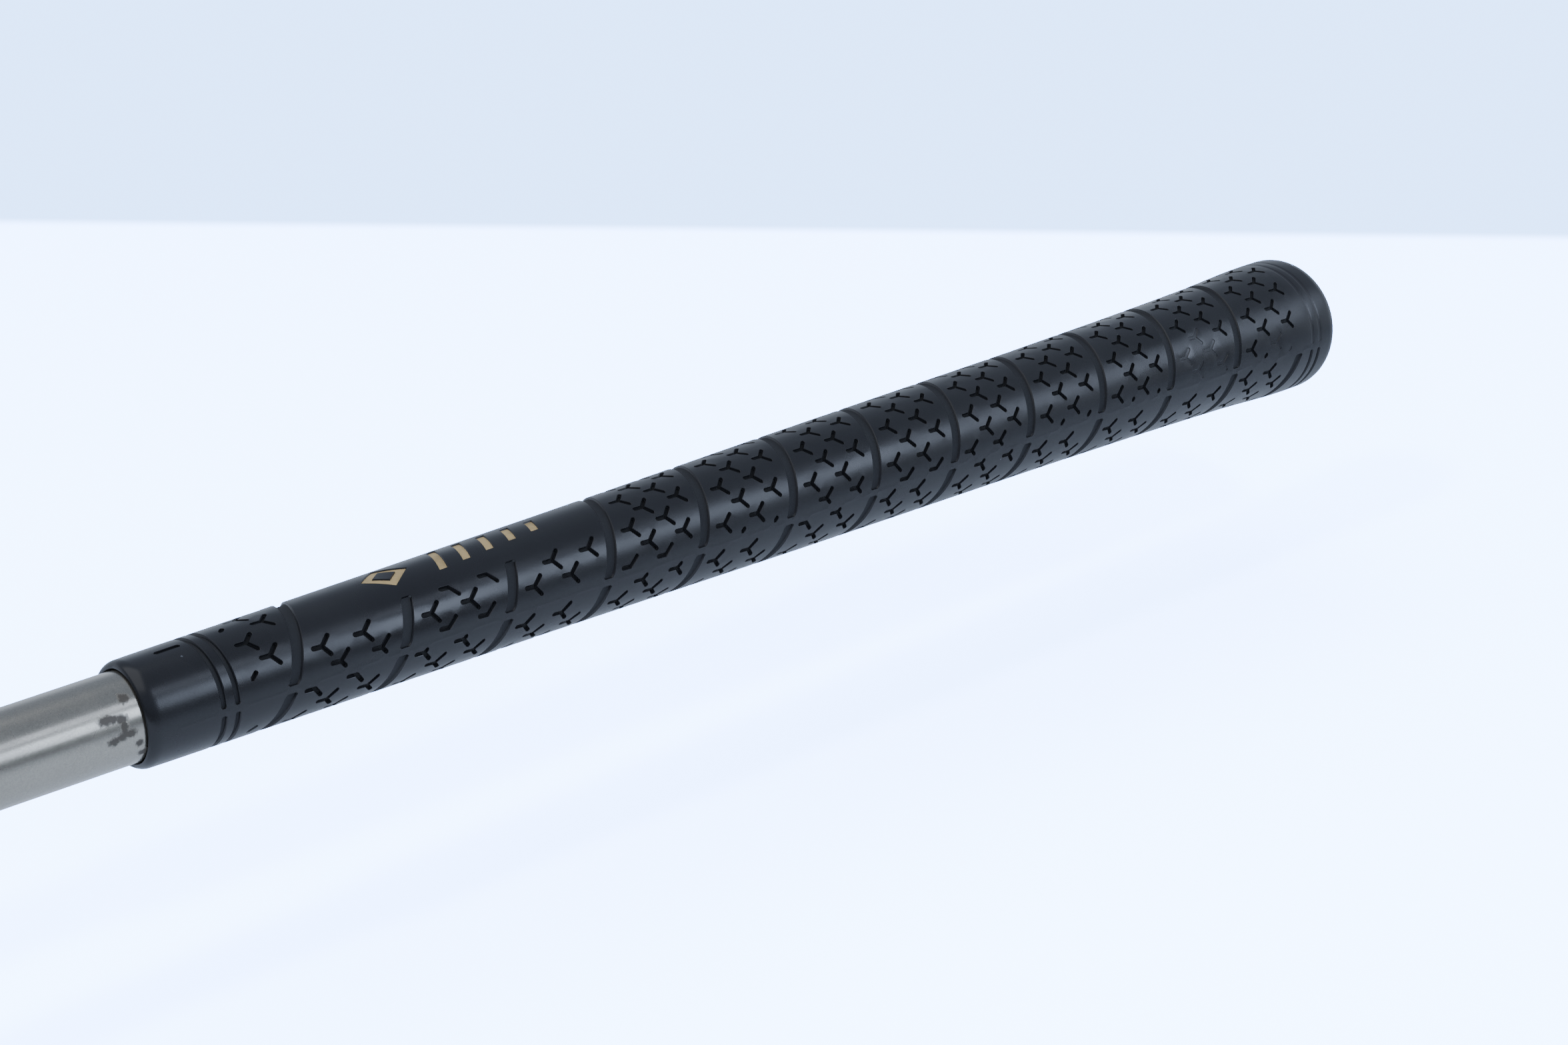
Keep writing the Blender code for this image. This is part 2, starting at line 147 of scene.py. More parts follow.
class HeadSettings(bpy.types.PropertyGroup):
    thread_pitch: FloatProperty(
        name="Thread pitch", description="Pitch of the spindle's thread", default=1.25 * MM,
        min=0.8 * MM, max=2.0 * MM, unit="LENGTH")
    flutes: IntProperty(
        name="Flutes", description="Number of flutes round the end knob", default=12, min=6, max=20)
    knurl_ribs: IntProperty(
        name="Knurl ribs", description="Number of fine ribs round each weight's groove", default=72,
        min=24, max=120)
    anodised: FloatVectorProperty(
        name="Anodised", description="Colour of the dark anodised aluminium", subtype="COLOR", size=3,
        default=(0.060, 0.062, 0.068), min=0.0, max=1.0)


class StageSettings(bpy.types.PropertyGroup):
    floor_drop: FloatProperty(
        name="Floor drop", description="How far the floor lies under the stick", default=0.038,
        min=0.0, max=0.3, unit="LENGTH")
    floor: FloatVectorProperty(
        name="Floor", description="Colour of the floor as it lights the stick", subtype="COLOR", size=3,
        default=(0.70, 0.77, 0.88), min=0.0, max=1.0)
    floor_shown: FloatVectorProperty(
        name="Floor shown", description="Brighter colour of the floor as the camera sees it",
        subtype="COLOR", size=3, default=(6.0, 9.0, 16.0), min=0.0, max=30.0)
    wall: FloatVectorProperty(
        name="Wall", description="Colour of the surroundings at eye level", subtype="COLOR", size=3,
        default=(0.68, 0.77, 0.92), min=0.0, max=1.0)
    room_shade: FloatProperty(
        name="Room shade", description="Brightness of the room behind the camera against the walls",
        default=0.25, min=0.0, max=1.0)
    floor_glow: FloatProperty(
        name="Floor glow", description="Extra light the bright floor throws up at the stick",
        default=0.25, min=0.0, max=4.0)
    wall_shown: FloatVectorProperty(
        name="Wall shown", description="Brighter colour of the wall as the camera sees it",
        subtype="COLOR", size=3, default=(1.92, 3.55, 7.0), min=0.0, max=30.0)
    ceiling: FloatVectorProperty(
        name="Ceiling", description="Colour of the surroundings overhead", subtype="COLOR", size=3,
        default=(0.32, 0.37, 0.47), min=0.0, max=1.0)
    lens: FloatProperty(
        name="Lens", description="Focal length of the camera in millimetres", default=69.23, min=20.0,
        max=200.0)


# ---------------------------------------------------------------- nodes
COLOR_A, COLOR_B, COLOR_RESULT = 6, 7, 2  # a Mix node's colour sockets


def socket_label(key):
    return key.replace("_", " ").title().replace("Ior", "IOR")


def feed(tree, socket, value):
    """Link an output to a socket, or set the socket to a number, vector or colour."""
    if isinstance(value, bpy.types.NodeSocket):
        tree.links.new(value, socket)
    elif socket.type == "RGBA":
        socket.default_value = (*value, 1.0)
    else:
        socket.default_value = value


def put(tree, kind, *values, **settings):
    """Add a node. Settings name an input or a property, and values feed its inputs in order."""
    made = tree.nodes.new(kind)
    for key, value in settings.items():
        label = socket_label(key)
        if label in made.inputs:
            feed(tree, made.inputs[label], value)
        elif hasattr(made, key):
            setattr(made, key, value)
        else:
            raise ValueError(f"{kind} has no {key}")
    for socket, value in zip(made.inputs, values):
        feed(tree, socket, value)
    return made


def maths(tree, operation, *values, clamp=False):
    return put(tree, "ShaderNodeMath", *values, operation=operation, use_clamp=clamp).outputs[0]


def vector_maths(tree, operation, *values):
    return put(tree, "ShaderNodeVectorMath", *values, operation=operation).outputs


def ramp(tree, source, low, high):
    """0 below low, 1 above high, smooth between."""
    return put(tree, "ShaderNodeMapRange", source, interpolation_type="SMOOTHSTEP",
               from_min=low, from_max=high).outputs["Result"]


def spread(tree, source, low, high):
    """Take 0..1 to low..high."""
    return put(tree, "ShaderNodeMapRange", source, to_min=low, to_max=high).outputs["Result"]


def blend_colors(tree, factor, first, second):
    made = put(tree, "ShaderNodeMix", factor, data_type="RGBA")
    feed(tree, made.inputs[COLOR_A], first)
    feed(tree, made.inputs[COLOR_B], second)
    return made.outputs[COLOR_RESULT]


def noise(tree, vector, scale, detail=2.0, roughness=0.5):
    return put(tree, "ShaderNodeTexNoise", vector=vector, scale=scale, detail=detail,
               roughness=roughness).outputs["Fac"]


def cells(tree, vector, scale):
    """Voronoi cells: their outputs, and the random values of each cell."""
    made = put(tree, "ShaderNodeTexVoronoi", vector=vector, scale=scale).outputs
    return made, put(tree, "ShaderNodeSeparateColor", made["Color"]).outputs


def new_group(name, inputs, outputs):
    """A shader node group with named number inputs (name, default) and number outputs."""
    tree = bpy.data.node_groups.new(name, "ShaderNodeTree")
    tree.interface.new_socket("Vector", in_out="INPUT", socket_type="NodeSocketVector")
    for label, default in inputs:
        socket = tree.interface.new_socket(label, in_out="INPUT", socket_type="NodeSocketFloat")
        socket.default_value = default
    for label in outputs:
        tree.interface.new_socket(label, in_out="OUTPUT", socket_type="NodeSocketFloat")
    return tree, put(tree, "NodeGroupInput").outputs, put(tree, "NodeGroupOutput").inputs


def use_group(tree, group, vector, **values):
    return put(tree, "ShaderNodeGroup", node_tree=group, vector=vector, **values).outputs


def make_grain_group():
    """Fine moulded or blasted grain: a height, a mask of where hands have polished it, and a tone."""
    tree, given, wanted = new_group("surface_grain", (("Grain Scale", 3500.0), ("Wear Scale", 30.0)),
                                    ("Height", "Polish", "Tone"))
    place, scale, wear = given["Vector"], given["Grain Scale"], given["Wear Scale"]
    fine = noise(tree, place, scale, 3.0, 0.6)
    coarse = noise(tree, place, maths(tree, "MULTIPLY", scale, 0.22))
    height = maths(tree, "ADD", maths(tree, "MULTIPLY", fine, 0.6), maths(tree, "MULTIPLY", coarse, 0.4))
    feed(tree, wanted["Height"], height)
    feed(tree, wanted["Polish"], ramp(tree, noise(tree, place, wear, 4.0, 0.6), 0.42, 0.68))
    feed(tree, wanted["Tone"], noise(tree, place, maths(tree, "MULTIPLY", wear, 3.1), 5.0, 0.65))
    return tree


def make_dust_group():
    """Dust: a thin uneven film and a few bright specks."""
    tree, given, wanted = new_group("dust", (("Speck Scale", 420.0), ("Amount", 0.5)), ("Film", "Specks"))
    cloud = ramp(tree, noise(tree, given["Vector"], 70.0, 6.0, 0.7), 0.35, 0.75)
    feed(tree, wanted["Film"], maths(tree, "MULTIPLY", cloud, given["Amount"]))
    spots, chosen = cells(tree, given["Vector"], given["Speck Scale"])
    rare = maths(tree, "GREATER_THAN", chosen[0], 0.975)
    small = maths(tree, "LESS_THAN", spots["Distance"], maths(tree, "MULTIPLY", chosen[1], 0.10))
    feed(tree, wanted["Specks"], maths(tree, "MULTIPLY", rare, small))
    return tree


def make_turning_group():
    """Fine lathe lines round the X axis: a height and a tone."""
    tree, given, wanted = new_group("turning_lines", (("Line Scale", 9000.0), ("Axis Height", AXIS_Z)),
                                    ("Height", "Tone"))
    parts = put(tree, "ShaderNodeSeparateXYZ", given["Vector"]).outputs
    up = maths(tree, "SUBTRACT", parts["Z"], given["Axis Height"])
    square = maths(tree, "ADD", maths(tree, "MULTIPLY", parts["Y"], parts["Y"]),
                   maths(tree, "MULTIPLY", up, up))
    flat = put(tree, "ShaderNodeCombineXYZ", parts["X"], maths(tree, "SQRT", square)).outputs[0]
    feed(tree, wanted["Height"], noise(tree, flat, given["Line Scale"], 2.0, 0.6))
    wide = maths(tree, "MULTIPLY", given["Line Scale"], 0.13)
    feed(tree, wanted["Tone"], noise(tree, flat, wide, 3.0, 0.6))
    return tree


# ---------------------------------------------------------------- finishes
def shade(color, factor):
    return [c * factor for c in color]


def start_material(name):
    """A material, its tree and its Object coordinates."""
    material = bpy.data.materials.new(name)
    material.use_nodes = True
    tree = material.node_tree
    return material, tree, put(tree, "ShaderNodeTexCoord").outputs["Object"]


def dress(material, height, distance, strength=1.0, **values):
    """Feed the Principled shader's named inputs, and give it a bump from a height."""
    tree = material.node_tree
    shader = tree.nodes["Principled BSDF"]
    bump = put(tree, "ShaderNodeBump", strength=strength, distance=distance, height=height)
    values["normal"] = bump.outputs["Normal"]
    for key, value in values.items():
        feed(tree, shader.inputs[socket_label(key)], value)
    return material


def finish_rubber(name, clean, dusty, groups, grain_depth, roughness, dust_amount, specks=0.6, settled=0.0):
    """Dusty rubber. Settled dust lies on the shallow floors of recesses, and the deep floors get painted
    shade: they are darkened to half the clean rubber's colour.
    """
    material, tree, place = start_material(name)
    grain = use_group(tree, groups["grain"], place)
    dust = use_group(tree, groups["dust"], place, amount=dust_amount)
    tone = blend_colors(tree, spread(tree, grain["Tone"], 0.0, 0.5), clean, shade(clean, 1.7))
    filmed = blend_colors(tree, dust["Film"], tone, dusty)
    rough = spread(tree, grain["Polish"], roughness[1], roughness[0])
    rough = maths(tree, "ADD", rough, maths(tree, "MULTIPLY", dust["Film"], 0.10))
    if settled:
        recess = put(tree, "ShaderNodeAttribute", attribute_name="recess").outputs["Fac"]
        sunk = ramp(tree, recess, 0.24, 0.40)
        lying = maths(tree, "MULTIPLY", sunk, spread(tree, grain["Tone"], 0.3, 1.0))
        filmed = blend_colors(tree, maths(tree, "MULTIPLY", lying, settled), filmed, dusty)
        # painted shade: the floors of deep recesses are darkened to half the clean rubber's colour
        filmed = blend_colors(tree, ramp(tree, recess, 0.45, 0.56), filmed, shade(clean, 0.5))
        rough = maths(tree, "ADD", rough, maths(tree, "MULTIPLY", sunk, 0.5), clamp=True)
    speck_color = [min(1.0, c) for c in shade(dusty, 3.6)]
    speckled = blend_colors(tree, maths(tree, "MULTIPLY", dust["Specks"], specks), filmed, speck_color)
    return dress(material, grain["Height"], grain_depth, base_color=speckled, roughness=rough)


def finish_turned(name, color, groups, roughness, line_depth=0.000004, tone_range=0.3, line_scale=9000.0):
    """Lathe-turned metal, a little smoother where it is handled."""
    material, tree, place = start_material(name)
    lines = use_group(tree, groups["turning"], place, line_scale=line_scale)
    grain = use_group(tree, groups["grain"], place, grain_scale=900.0, wear_scale=60.0)
    return dress(material, lines["Height"], line_depth, metallic=1.0,
                 base_color=blend_colors(tree, lines["Tone"], shade(color, 1 - tone_range), color),
                 roughness=spread(tree, grain["Polish"], roughness[1], roughness[0]))


def finish_blasted(name, color, groups, roughness):
    """Bead blasted and anodised metal, a little brighter where it is handled."""
    material, tree, place = start_material(name)
    grain = use_group(tree, groups["grain"], place, grain_scale=5200.0, wear_scale=55.0)
    dust = use_group(tree, groups["dust"], place, amount=0.12)
    tone = blend_colors(tree, grain["Polish"], color, shade(color, 1.45))
    return dress(material, grain["Height"], 0.000012, metallic=1.0,
                 base_color=blend_colors(tree, dust["Film"], tone, (0.18, 0.18, 0.18)),
                 roughness=spread(tree, grain["Polish"], roughness[1], roughness[0]))


def finish_plain(name, groups, scales, mixed_by, colors, rough, depth, **values):
    """Two colours mixed by one of the grain's masks. rough is a number, or (mask, low, high)."""
    material, tree, place = start_material(name)
    grain = use_group(tree, groups["grain"], place, grain_scale=scales[0], wear_scale=scales[1])
    if isinstance(rough, tuple):
        rough = spread(tree, grain[rough[0]], *rough[1:])
    return dress(material, grain["Height"], depth, roughness=rough,
                 base_color=blend_colors(tree, grain[mixed_by], *colors), **values)


def finish_shaft(settings, groups):
    """Champagne metallic paint with flakes and a clear coat, stained beside the grip's mouth."""
    material, tree, place = start_material("champagne_paint")
    paint = tuple(settings.paint)
    flaked = blend_colors(tree, cells(tree, place, 6500.0)[1][0], shade(paint, 0.82), paint)
    grain = use_group(tree, groups["grain"], place, grain_scale=500.0, wear_scale=45.0)
    cloudy = blend_colors(tree, maths(tree, "MULTIPLY", grain["Tone"], 0.35), flaked,
                          (paint[0] * 0.8, paint[1] * 0.8, paint[2] * 0.74))
    stain = stain_mask(tree, place)

    def stained(amount):
        return maths(tree, "MULTIPLY", stain, amount)
    rough = maths(tree, "ADD", spread(tree, grain["Polish"], 0.24, 0.34), stained(0.35))
    lift = maths(tree, "ADD", maths(tree, "MULTIPLY", grain["Height"], 0.25), stain)
    return dress(material, lift, 0.00002, 0.6, roughness=rough, coat_roughness=0.06, coat_ior=1.45,
                 base_color=blend_colors(tree, stain, cloudy, tuple(settings.stain)),
                 metallic=maths(tree, "SUBTRACT", 0.93, stained(0.75)),
                 coat_weight=maths(tree, "SUBTRACT", 0.8, stained(0.8)))


STAIN_SPOTS = (
    # millimetres along from the mouth, degrees round, and millimetres of reach along and round
    (-6.0, 61.5, 1.1, 0.7), (-4.8, 63.0, 1.2, 0.6), (-3.6, 66.0, 1.0, 0.65), (-3.4, 76.0, 0.6, 1.1),
    (-2.7, 85.0, 1.2, 0.65), (-3.9, 86.0, 1.0, 0.6), (-5.3, 89.0, 0.9, 0.65), (-2.1, 42.4, 0.9, 0.8),
    (-0.6, 117.0, 0.7, 0.6), (-1.4, 101.0, 0.6, 0.6),
)


def stain_mask(tree, place):
    """Uneven blotches at chosen places beside the mouth."""
    warp = noise(tree, place, 1500.0, 3.0, 0.6)
    total = None
    for along, angle, size_along, size_around in STAIN_SPOTS:
        centre = round_axis(MOUTH_X + along * MM, SHAFT_R_MOUTH, math.radians(angle))
        offset = vector_maths(tree, "SUBTRACT", place, centre)[0]
        across = 1 / (size_around * MM)
        sized = vector_maths(tree, "MULTIPLY", offset, (1 / (size_along * MM), across, across))[0]
        length = vector_maths(tree, "LENGTH", sized)["Value"]
        rough_edge = maths(tree, "ADD", length, maths(tree, "MULTIPLY", warp, 1.6))
        spot = maths(tree, "SUBTRACT", 1.0, ramp(tree, rough_edge, 1.35, 2.15))
        total = spot if total is None else maths(tree, "MAXIMUM", total, spot)
    return maths(tree, "MULTIPLY", total, 0.9)


def finish_cork():
    material, tree, place = start_material("plug_cork")
    grains, shades = cells(tree, place, 900.0)
    tone = blend_colors(tree, shades[0], (0.30, 0.17, 0.08), (0.58, 0.40, 0.22))
    return dress(material, grains["Distance"], 0.0001, base_color=tone, roughness=0.9)


def make_materials(context):
    scene = context.scene
    groups = {"grain": make_grain_group(), "dust": make_dust_group(), "turning": make_turning_group()}
    grip = scene.stick_grip
    mark = tuple(grip.mark_paint)
    return {
        "grip_rubber": finish_rubber("grip_rubber_skin", tuple(grip.rubber), tuple(grip.dust), groups,
                                     0.000010, (0.22, 0.32), 0.07, settled=0.4),
        "mark_paint": finish_plain("mark_paint", groups, (2600.0, 260.0), "Polish",
                                   (mark, shade(mark, 0.72)), ("Tone", 0.38, 0.62), 0.00003,
                                   metallic=0.35),
        "shaft_paint": finish_shaft(scene.stick_shaft, groups),
        "tape_paper": finish_plain("tape_paper", groups, (1400.0, 90.0), "Tone",
                                   ((0.62, 0.58, 0.48), (0.80, 0.78, 0.71)), 0.85, 0.00003),
        "plug_cork": finish_cork(),
        "ferrule_black": finish_plain("ferrule_gloss", groups, (1200.0, 80.0), "Tone",
                                      ((0.010, 0.010, 0.011), (0.024, 0.023, 0.023)),
                                      ("Polish", 0.22, 0.12), 0.000003, coat_weight=0.4,
                                      coat_roughness=0.05),
        "trim_steel": finish_turned("trim_polished", (0.74, 0.74, 0.76), groups, (0.10, 0.20),
                                    line_depth=0.000001, tone_range=0.08),
        "adapter_dark": finish_blasted("anodised_dark", tuple(scene.stick_head.anodised), groups,
                                       (0.30, 0.42)),
        "weight_steel": finish_turned("weight_turned_steel", (0.60, 0.595, 0.59), groups, (0.22, 0.36)),
        "fastener_steel": finish_turned("zinc_steel", (0.52, 0.53, 0.55), groups, (0.26, 0.42),
                                        line_scale=4000.0),
        "bumper_rubber": finish_rubber("bumper_rubber_skin", (0.016, 0.016, 0.017), (0.07, 0.07, 0.07),
                                       groups, 0.00003, (0.55, 0.72), 0.25, 0.3),
        "insert_brass": finish_turned("machined_brass", (0.72, 0.52, 0.24), groups, (0.20, 0.34)),
    }


MATERIALS = {}


def material_for(slot_name):
    if not MATERIALS:
        MATERIALS.update(make_materials(bpy.context))
    return MATERIALS[slot_name]


# ---------------------------------------------------------------- mesh helpers
def add_object(name, data):
    item = bpy.data.objects.new(name, data)
    bpy.context.scene.collection.objects.link(item)
    return item


def evaluated_mesh(item):
    """A plain mesh of an object with its modifiers applied. The object is removed."""
    depsgraph = bpy.context.evaluated_depsgraph_get()
    mesh = bpy.data.meshes.new_from_object(item.evaluated_get(depsgraph))
    bpy.data.objects.remove(item, do_unlink=True)
    return mesh


def extents(node):
    """A turned node's end towards the grip, its other end and its outer radius."""
    low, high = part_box(node)
    return high[0], low[0], high[2] - AXIS_Z


def round_axis(x, radius, angle):
    """A place at an angle round the stick's axis, 0 at the top and growing towards -Y."""
    return x, -radius * math.sin(angle), AXIS_Z + radius * math.cos(angle)


def finish_piece(mesh, name, body, slot_name, replaced=(), material=None, sharp_angle=32.0):
    """Link a mesh as a piece that rides on a body."""
    item = add_object(name, mesh)
    mesh.materials.clear()
    mesh.materials.append(material or material_for(slot_name))
    mesh.shade_smooth()
    mesh.set_sharp_from_angle(angle=math.radians(sharp_angle))
    if replaced:
        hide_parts(*replaced)
    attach(item, body)
    return item


def plain_mesh(shape, name):
    mesh = bpy.data.meshes.new(name)
    shape.to_mesh(mesh)
    shape.free()
    return mesh


def mesh_from_shape(shape, name):
    bmesh.ops.remove_doubles(shape, verts=shape.verts, dist=1e-7)
    bmesh.ops.recalc_face_normals(shape, faces=shape.faces)
    return plain_mesh(shape, name)


def rounded(profile, steps=4):
    """Round the corners of a closed profile of (x, radius, corner radius) points."""
    points = []
    count = len(profile)
    for index, (x, r, corner) in enumerate(profile):
        here = Vector((x, r))
        if corner <= 0:
            points.append((x, r))
            continue
        before = Vector(profile[index - 1][:2]) - here
        after = Vector(profile[(index + 1) % count][:2]) - here
        reach = min(corner, before.length * 0.49, after.length * 0.49)
        start = here + before.normalized() * reach
        end = here + after.normalized() * reach
        for step in range(steps + 1):
            t = step / steps
            bend = start * (1 - t) ** 2 + here * 2 * t * (1 - t) + end * t ** 2
            points.append((bend.x, bend.y))
    return points


def turned_mesh(name, points, segments=TURN_SEGMENTS, radius_change=None, x_change=None):
    """Turn a closed profile of (x, radius) points about the stick's axis.

    radius_change(x, r, angle) and x_change(x, r, angle) may move a point on its way round.
    """
    shape = bmesh.new()
    rings = []
    for x, r in points:
        ring = []
        if r < 1e-7:
            ring = [shape.verts.new((x, 0.0, AXIS_Z))] * segments
        else:
            for index in range(segments):
                angle = 2 * math.pi * index / segments
                reach = r + (radius_change(x, r, angle) if radius_change else 0.0)
                along = x + (x_change(x, r, angle) if x_change else 0.0)
                ring.append(shape.verts.new(round_axis(along, reach, angle)))
        rings.append(ring)
    closed = points[0][1] > 1e-7 or points[-1][1] > 1e-7
    pairs = list(zip(rings, rings[1:] + rings[:1])) if closed else list(zip(rings, rings[1:]))
    for first, second in pairs:
        for index in range(segments):
            after = (index + 1) % segments
            corners = []
            for vertex in (first[index], first[after], second[after], second[index]):
                if vertex not in corners:
                    corners.append(vertex)
            if len(corners) > 2:
                shape.faces.new(corners)
    return mesh_from_shape(shape, name)


def turned_piece(name, profile, body, slot_name, replaced, **options):
    mesh = turned_mesh(name, rounded(profile), **options)
    return finish_piece(mesh, name, body, slot_name, replaced)


def rod(shape, radius, start, end, sides=24, end_radius=None):
    """Add a closed rod from start to end to a bmesh."""
    direction = Vector(end) - Vector(start)
    turn = direction.to_track_quat("Z", "Y").to_matrix().to_4x4()
    place = Matrix.Translation((Vector(start) + Vector(end)) / 2) @ turn
    bmesh.ops.create_cone(
        shape, cap_ends=True, segments=sides, radius1=radius,
        radius2=radius if end_radius is None else end_radius, depth=direction.length, matrix=place)


def cut_mesh(mesh, cutter_mesh, name):
    """The mesh with the cutter taken away, as a new mesh."""
    item = add_object(name, mesh)
    cutter = add_object(name + "_cutter", cutter_mesh)
    boolean = item.modifiers.new("Cut", "BOOLEAN")
    boolean.operation = "DIFFERENCE"
    boolean.solver = "EXACT"
    boolean.object = cutter
    result = evaluated_mesh(item)
    bpy.data.objects.remove(cutter, do_unlink=True)
    return result


# ---------------------------------------------------------------- grip
def smooth_radii():
    """The grip's radius every quarter millimetre, with its corners eased."""
    places = np.arange(0.0, GRIP_LENGTH + 0.01, 0.25)
    radii = np.interp(places, *zip(*GRIP_RADII))
    window = np.hanning(49)
    window /= window.sum()
    padded = np.concatenate([2 * radii[0] - radii[24:0:-1], radii, np.full(24, radii[-1])])
    return places, np.convolve(padded, window, "valid")


RADIUS_PLACES, RADIUS_VALUES = smooth_radii()


def grip_radius(along):
    return np.interp(along, RADIUS_PLACES, RADIUS_VALUES)


def spiral_place(turn, angle):
    """Where a turn of the spiral groove crosses an angle."""
    return SPIRAL_START + SPIRAL_PITCH * (turn - angle / 360.0)


class FlatSkin:
    """The grip's outer skin laid flat: (along, around) points, their depths, and outline edges."""

    def __init__(self):
        self.points = []
        self.depths = []
        self.edges = []
        self.outlines = []
        self.painted = []

    def add_loop(self, loop, depth):
        first = len(self.points)
        self.points += loop
        self.depths += list(np.broadcast_to(depth, len(loop)))
        count = len(loop)
        self.edges += [(first + i, first + (i + 1) % count) for i in range(count)]

    def add_recess(self, outline, section, worn=1.0, paint=False):
        """Nested outlines, each at its own depth. outline(inset) gives (along, angle) points."""
        for inset, depth in section:
            loop = [(u, math.radians(a) * UNROLL_R) for u, a in outline(inset)]
            self.add_loop(loop, depth * worn)
            if inset == 0.0:
                self.outlines.append(np.array(loop))
            if paint and (inset, depth) == section[-1]:
                self.painted.append(np.array(loop))


def strip_outline(place, half_width, start, end):
    """Outline of a groove that follows place(angle) between two angles."""
    def outline(inset):
        half = half_width - inset
        radius = float(grip_radius(place((start + end) / 2)))
        trim = math.degrees(inset * 0.4 / radius)
        low, high = start + trim, end - trim
        count = max(2, round((high - low) / 3.75))
        angles = [low + (high - low) * i / count for i in range(count + 1)]
        corner = min(0.3, half * 0.5)
        turn = math.degrees(corner / radius)
        near = [(place(a) - half, a) for a in angles[1:-1]]
        far = [(place(a) + half, a) for a in reversed(angles[1:-1])]
        first = [(place(low) + half, low + turn), (place(low) + half - corner, low),
                 (place(low) - half + corner, low), (place(low) - half, low + turn)]
        last = [(place(high) - half, high - turn), (place(high) - half + corner, high),
                (place(high) + half - corner, high), (place(high) + half, high - turn)]
        return first + near + last + far
    return outline


def star_outline(centre, arms, half_width, cap_steps=4):
    """Outline of arms that meet at a centre (along, angle). Arms are (angle, length) pairs."""
    def outline(inset):
        half = half_width - inset
        points = []
        ordered = sorted((math.radians(a), length) for a, length in arms)
        for index, (angle, length) in enumerate(ordered):
            for step in range(cap_steps + 1):
                turn = angle - math.pi / 2 + math.pi * step / cap_steps
                points.append((length * math.cos(angle) + half * math.cos(turn),
                               length * math.sin(angle) + half * math.sin(turn)))
            following = ordered[(index + 1) % len(ordered)][0]
            gap = (following - angle) % (2 * math.pi) or 2 * math.pi
            middle = angle + gap / 2
            if gap < 0.95 * math.pi:
                reach = half / math.sin(gap / 2)
                points.append((reach * math.cos(middle), reach * math.sin(middle)))
            else:
                for turn in (angle + math.pi / 2, middle, following - math.pi / 2):
                    points.append((half * math.cos(turn), half * math.sin(turn)))
        return [place_on_skin(centre, point) for point in points]
    return outline


def polygon_outline(centre, corners, spacing=0.8):
    """Outline of a polygon in millimetres about a centre, drawn in towards its middle."""
    def outline(inset):
        count = len(corners)
        moved = []
        for index in range(count):
            here = Vector(corners[index])
            before = (here - Vector(corners[index - 1])).normalized()
            after = (Vector(corners[(index + 1) % count]) - here).normalized()
            inward = Vector((-before.y, before.x)) + Vector((-after.y, after.x))
            reach = inset * 2 / max(inward.length_squared, 0.3)
            moved.append(here + inward * reach)
        points = []
        for index in range(count):
            start, end = moved[index], moved[(index + 1) % count]
            pieces = max(1, round((end - start).length / spacing))
            points += [start.lerp(end, i / pieces) for i in range(pieces)]
        return [place_on_skin(centre, point) for point in points]
    return outline


def place_on_skin(centre, point):
    along = centre[0] + point[0]
    return along, centre[1] + math.degrees(point[1] / float(grip_radius(along)))


def along_arm(centre, turn, distance):
    """The place at a distance from a centre in a direction in degrees."""
    angle = math.radians(turn)
    return place_on_skin(centre, (distance * math.cos(angle), distance * math.sin(angle)))


def on_open_rubber(along, angle):
    """Whether a tread arm may lie here, clear of grooves, seams, panel and ends."""
    if not TREAD_START < along < TREAD_END:
        return False
    radius = float(grip_radius(along))
    for seam in (-90.0, 90.0, 270.0):
        if abs(math.radians(angle - seam)) * radius < SEAM_CLEAR + 0.05:
            return False
    turn = (along - SPIRAL_START) / SPIRAL_PITCH + angle / 360.0
    for near in (math.floor(turn), math.ceil(turn)):
        if near >= FIRST_TURN and abs(along - spiral_place(near, angle)) < 1.75:
            return False
    if abs(angle) < PANEL_HALF_ANGLE + 2.0:
        if spiral_place(FIRST_TURN, angle) < along < spiral_place(PANEL_TURNS[-1] + 1, angle):
            return False
    return True


def wear_at(along, angle):
    """How much of a tread's depth is left."""
    left = 1.0 - 0.16 * max(0.0, (along - 190.0) / 80.0)
    for place, turn, reach_along, reach_around in WORN_SPOTS:
        around = math.radians(angle - turn) * float(grip_radius(along))
        distance = math.hypot((along - place) / reach_along, around / reach_around)
        left = min(left, max(0.16, min(1.0, distance ** 3)))
    return left


def add_tread(skin, along, angle, half_width):
    """One three-armed mark, cut short where it would meet something."""
    if not -90.0 < angle < 270.0:
        return
    centre = (along, angle)
    radius = float(grip_radius(along))
    steps = 12
    arms = []
    for turn, length in TREAD_ARMS:
        reach = [(length + half_width) * step / steps for step in range(steps + 1)]
        clear = [on_open_rubber(*along_arm(centre, turn, distance)) for distance in reach]
        arms.append((turn, length, reach, clear))
    worn = wear_at(along, angle)
    if on_open_rubber(*centre):
        kept = []
        for turn, length, reach, clear in arms:
            end = length if all(clear) else reach[clear.index(False) - 1] - half_width
            if end > SHORTEST_ARM * length:
                kept.append((turn, end))
        if kept:
            skin.add_recess(star_outline(centre, kept, half_width), TREAD_SECTION, worn)
        return
    on_seam = abs(math.radians(angle - 90.0)) * radius < 0.2
    turn, length, reach, clear = arms[0]
    if (along < TREAD_START or on_seam) and clear[-1]:
        start = reach[steps - clear[::-1].index(False) + 1] + half_width
        if length - start > 0.2:
            base = along_arm(centre, turn, start)
            skin.add_recess(star_outline(base, ((turn, length - start),), half_width), TREAD_SECTION, worn)


def add_treads(skin, half_width):
    for turn, (row_angle, row_step, seam_move) in enumerate(TREAD_ROWS):
        first = math.ceil((-90.0 - row_angle) / row_step)
        last = math.floor((270.0 - row_angle) / row_step)
        for row in range(first, last + 1):
            angle = row_angle + row * row_step
            if angle > 92.0:
                angle += seam_move
            for column in TREAD_COLUMNS[row % 2]:
                add_tread(skin, spiral_place(turn, angle) + column, angle, half_width)


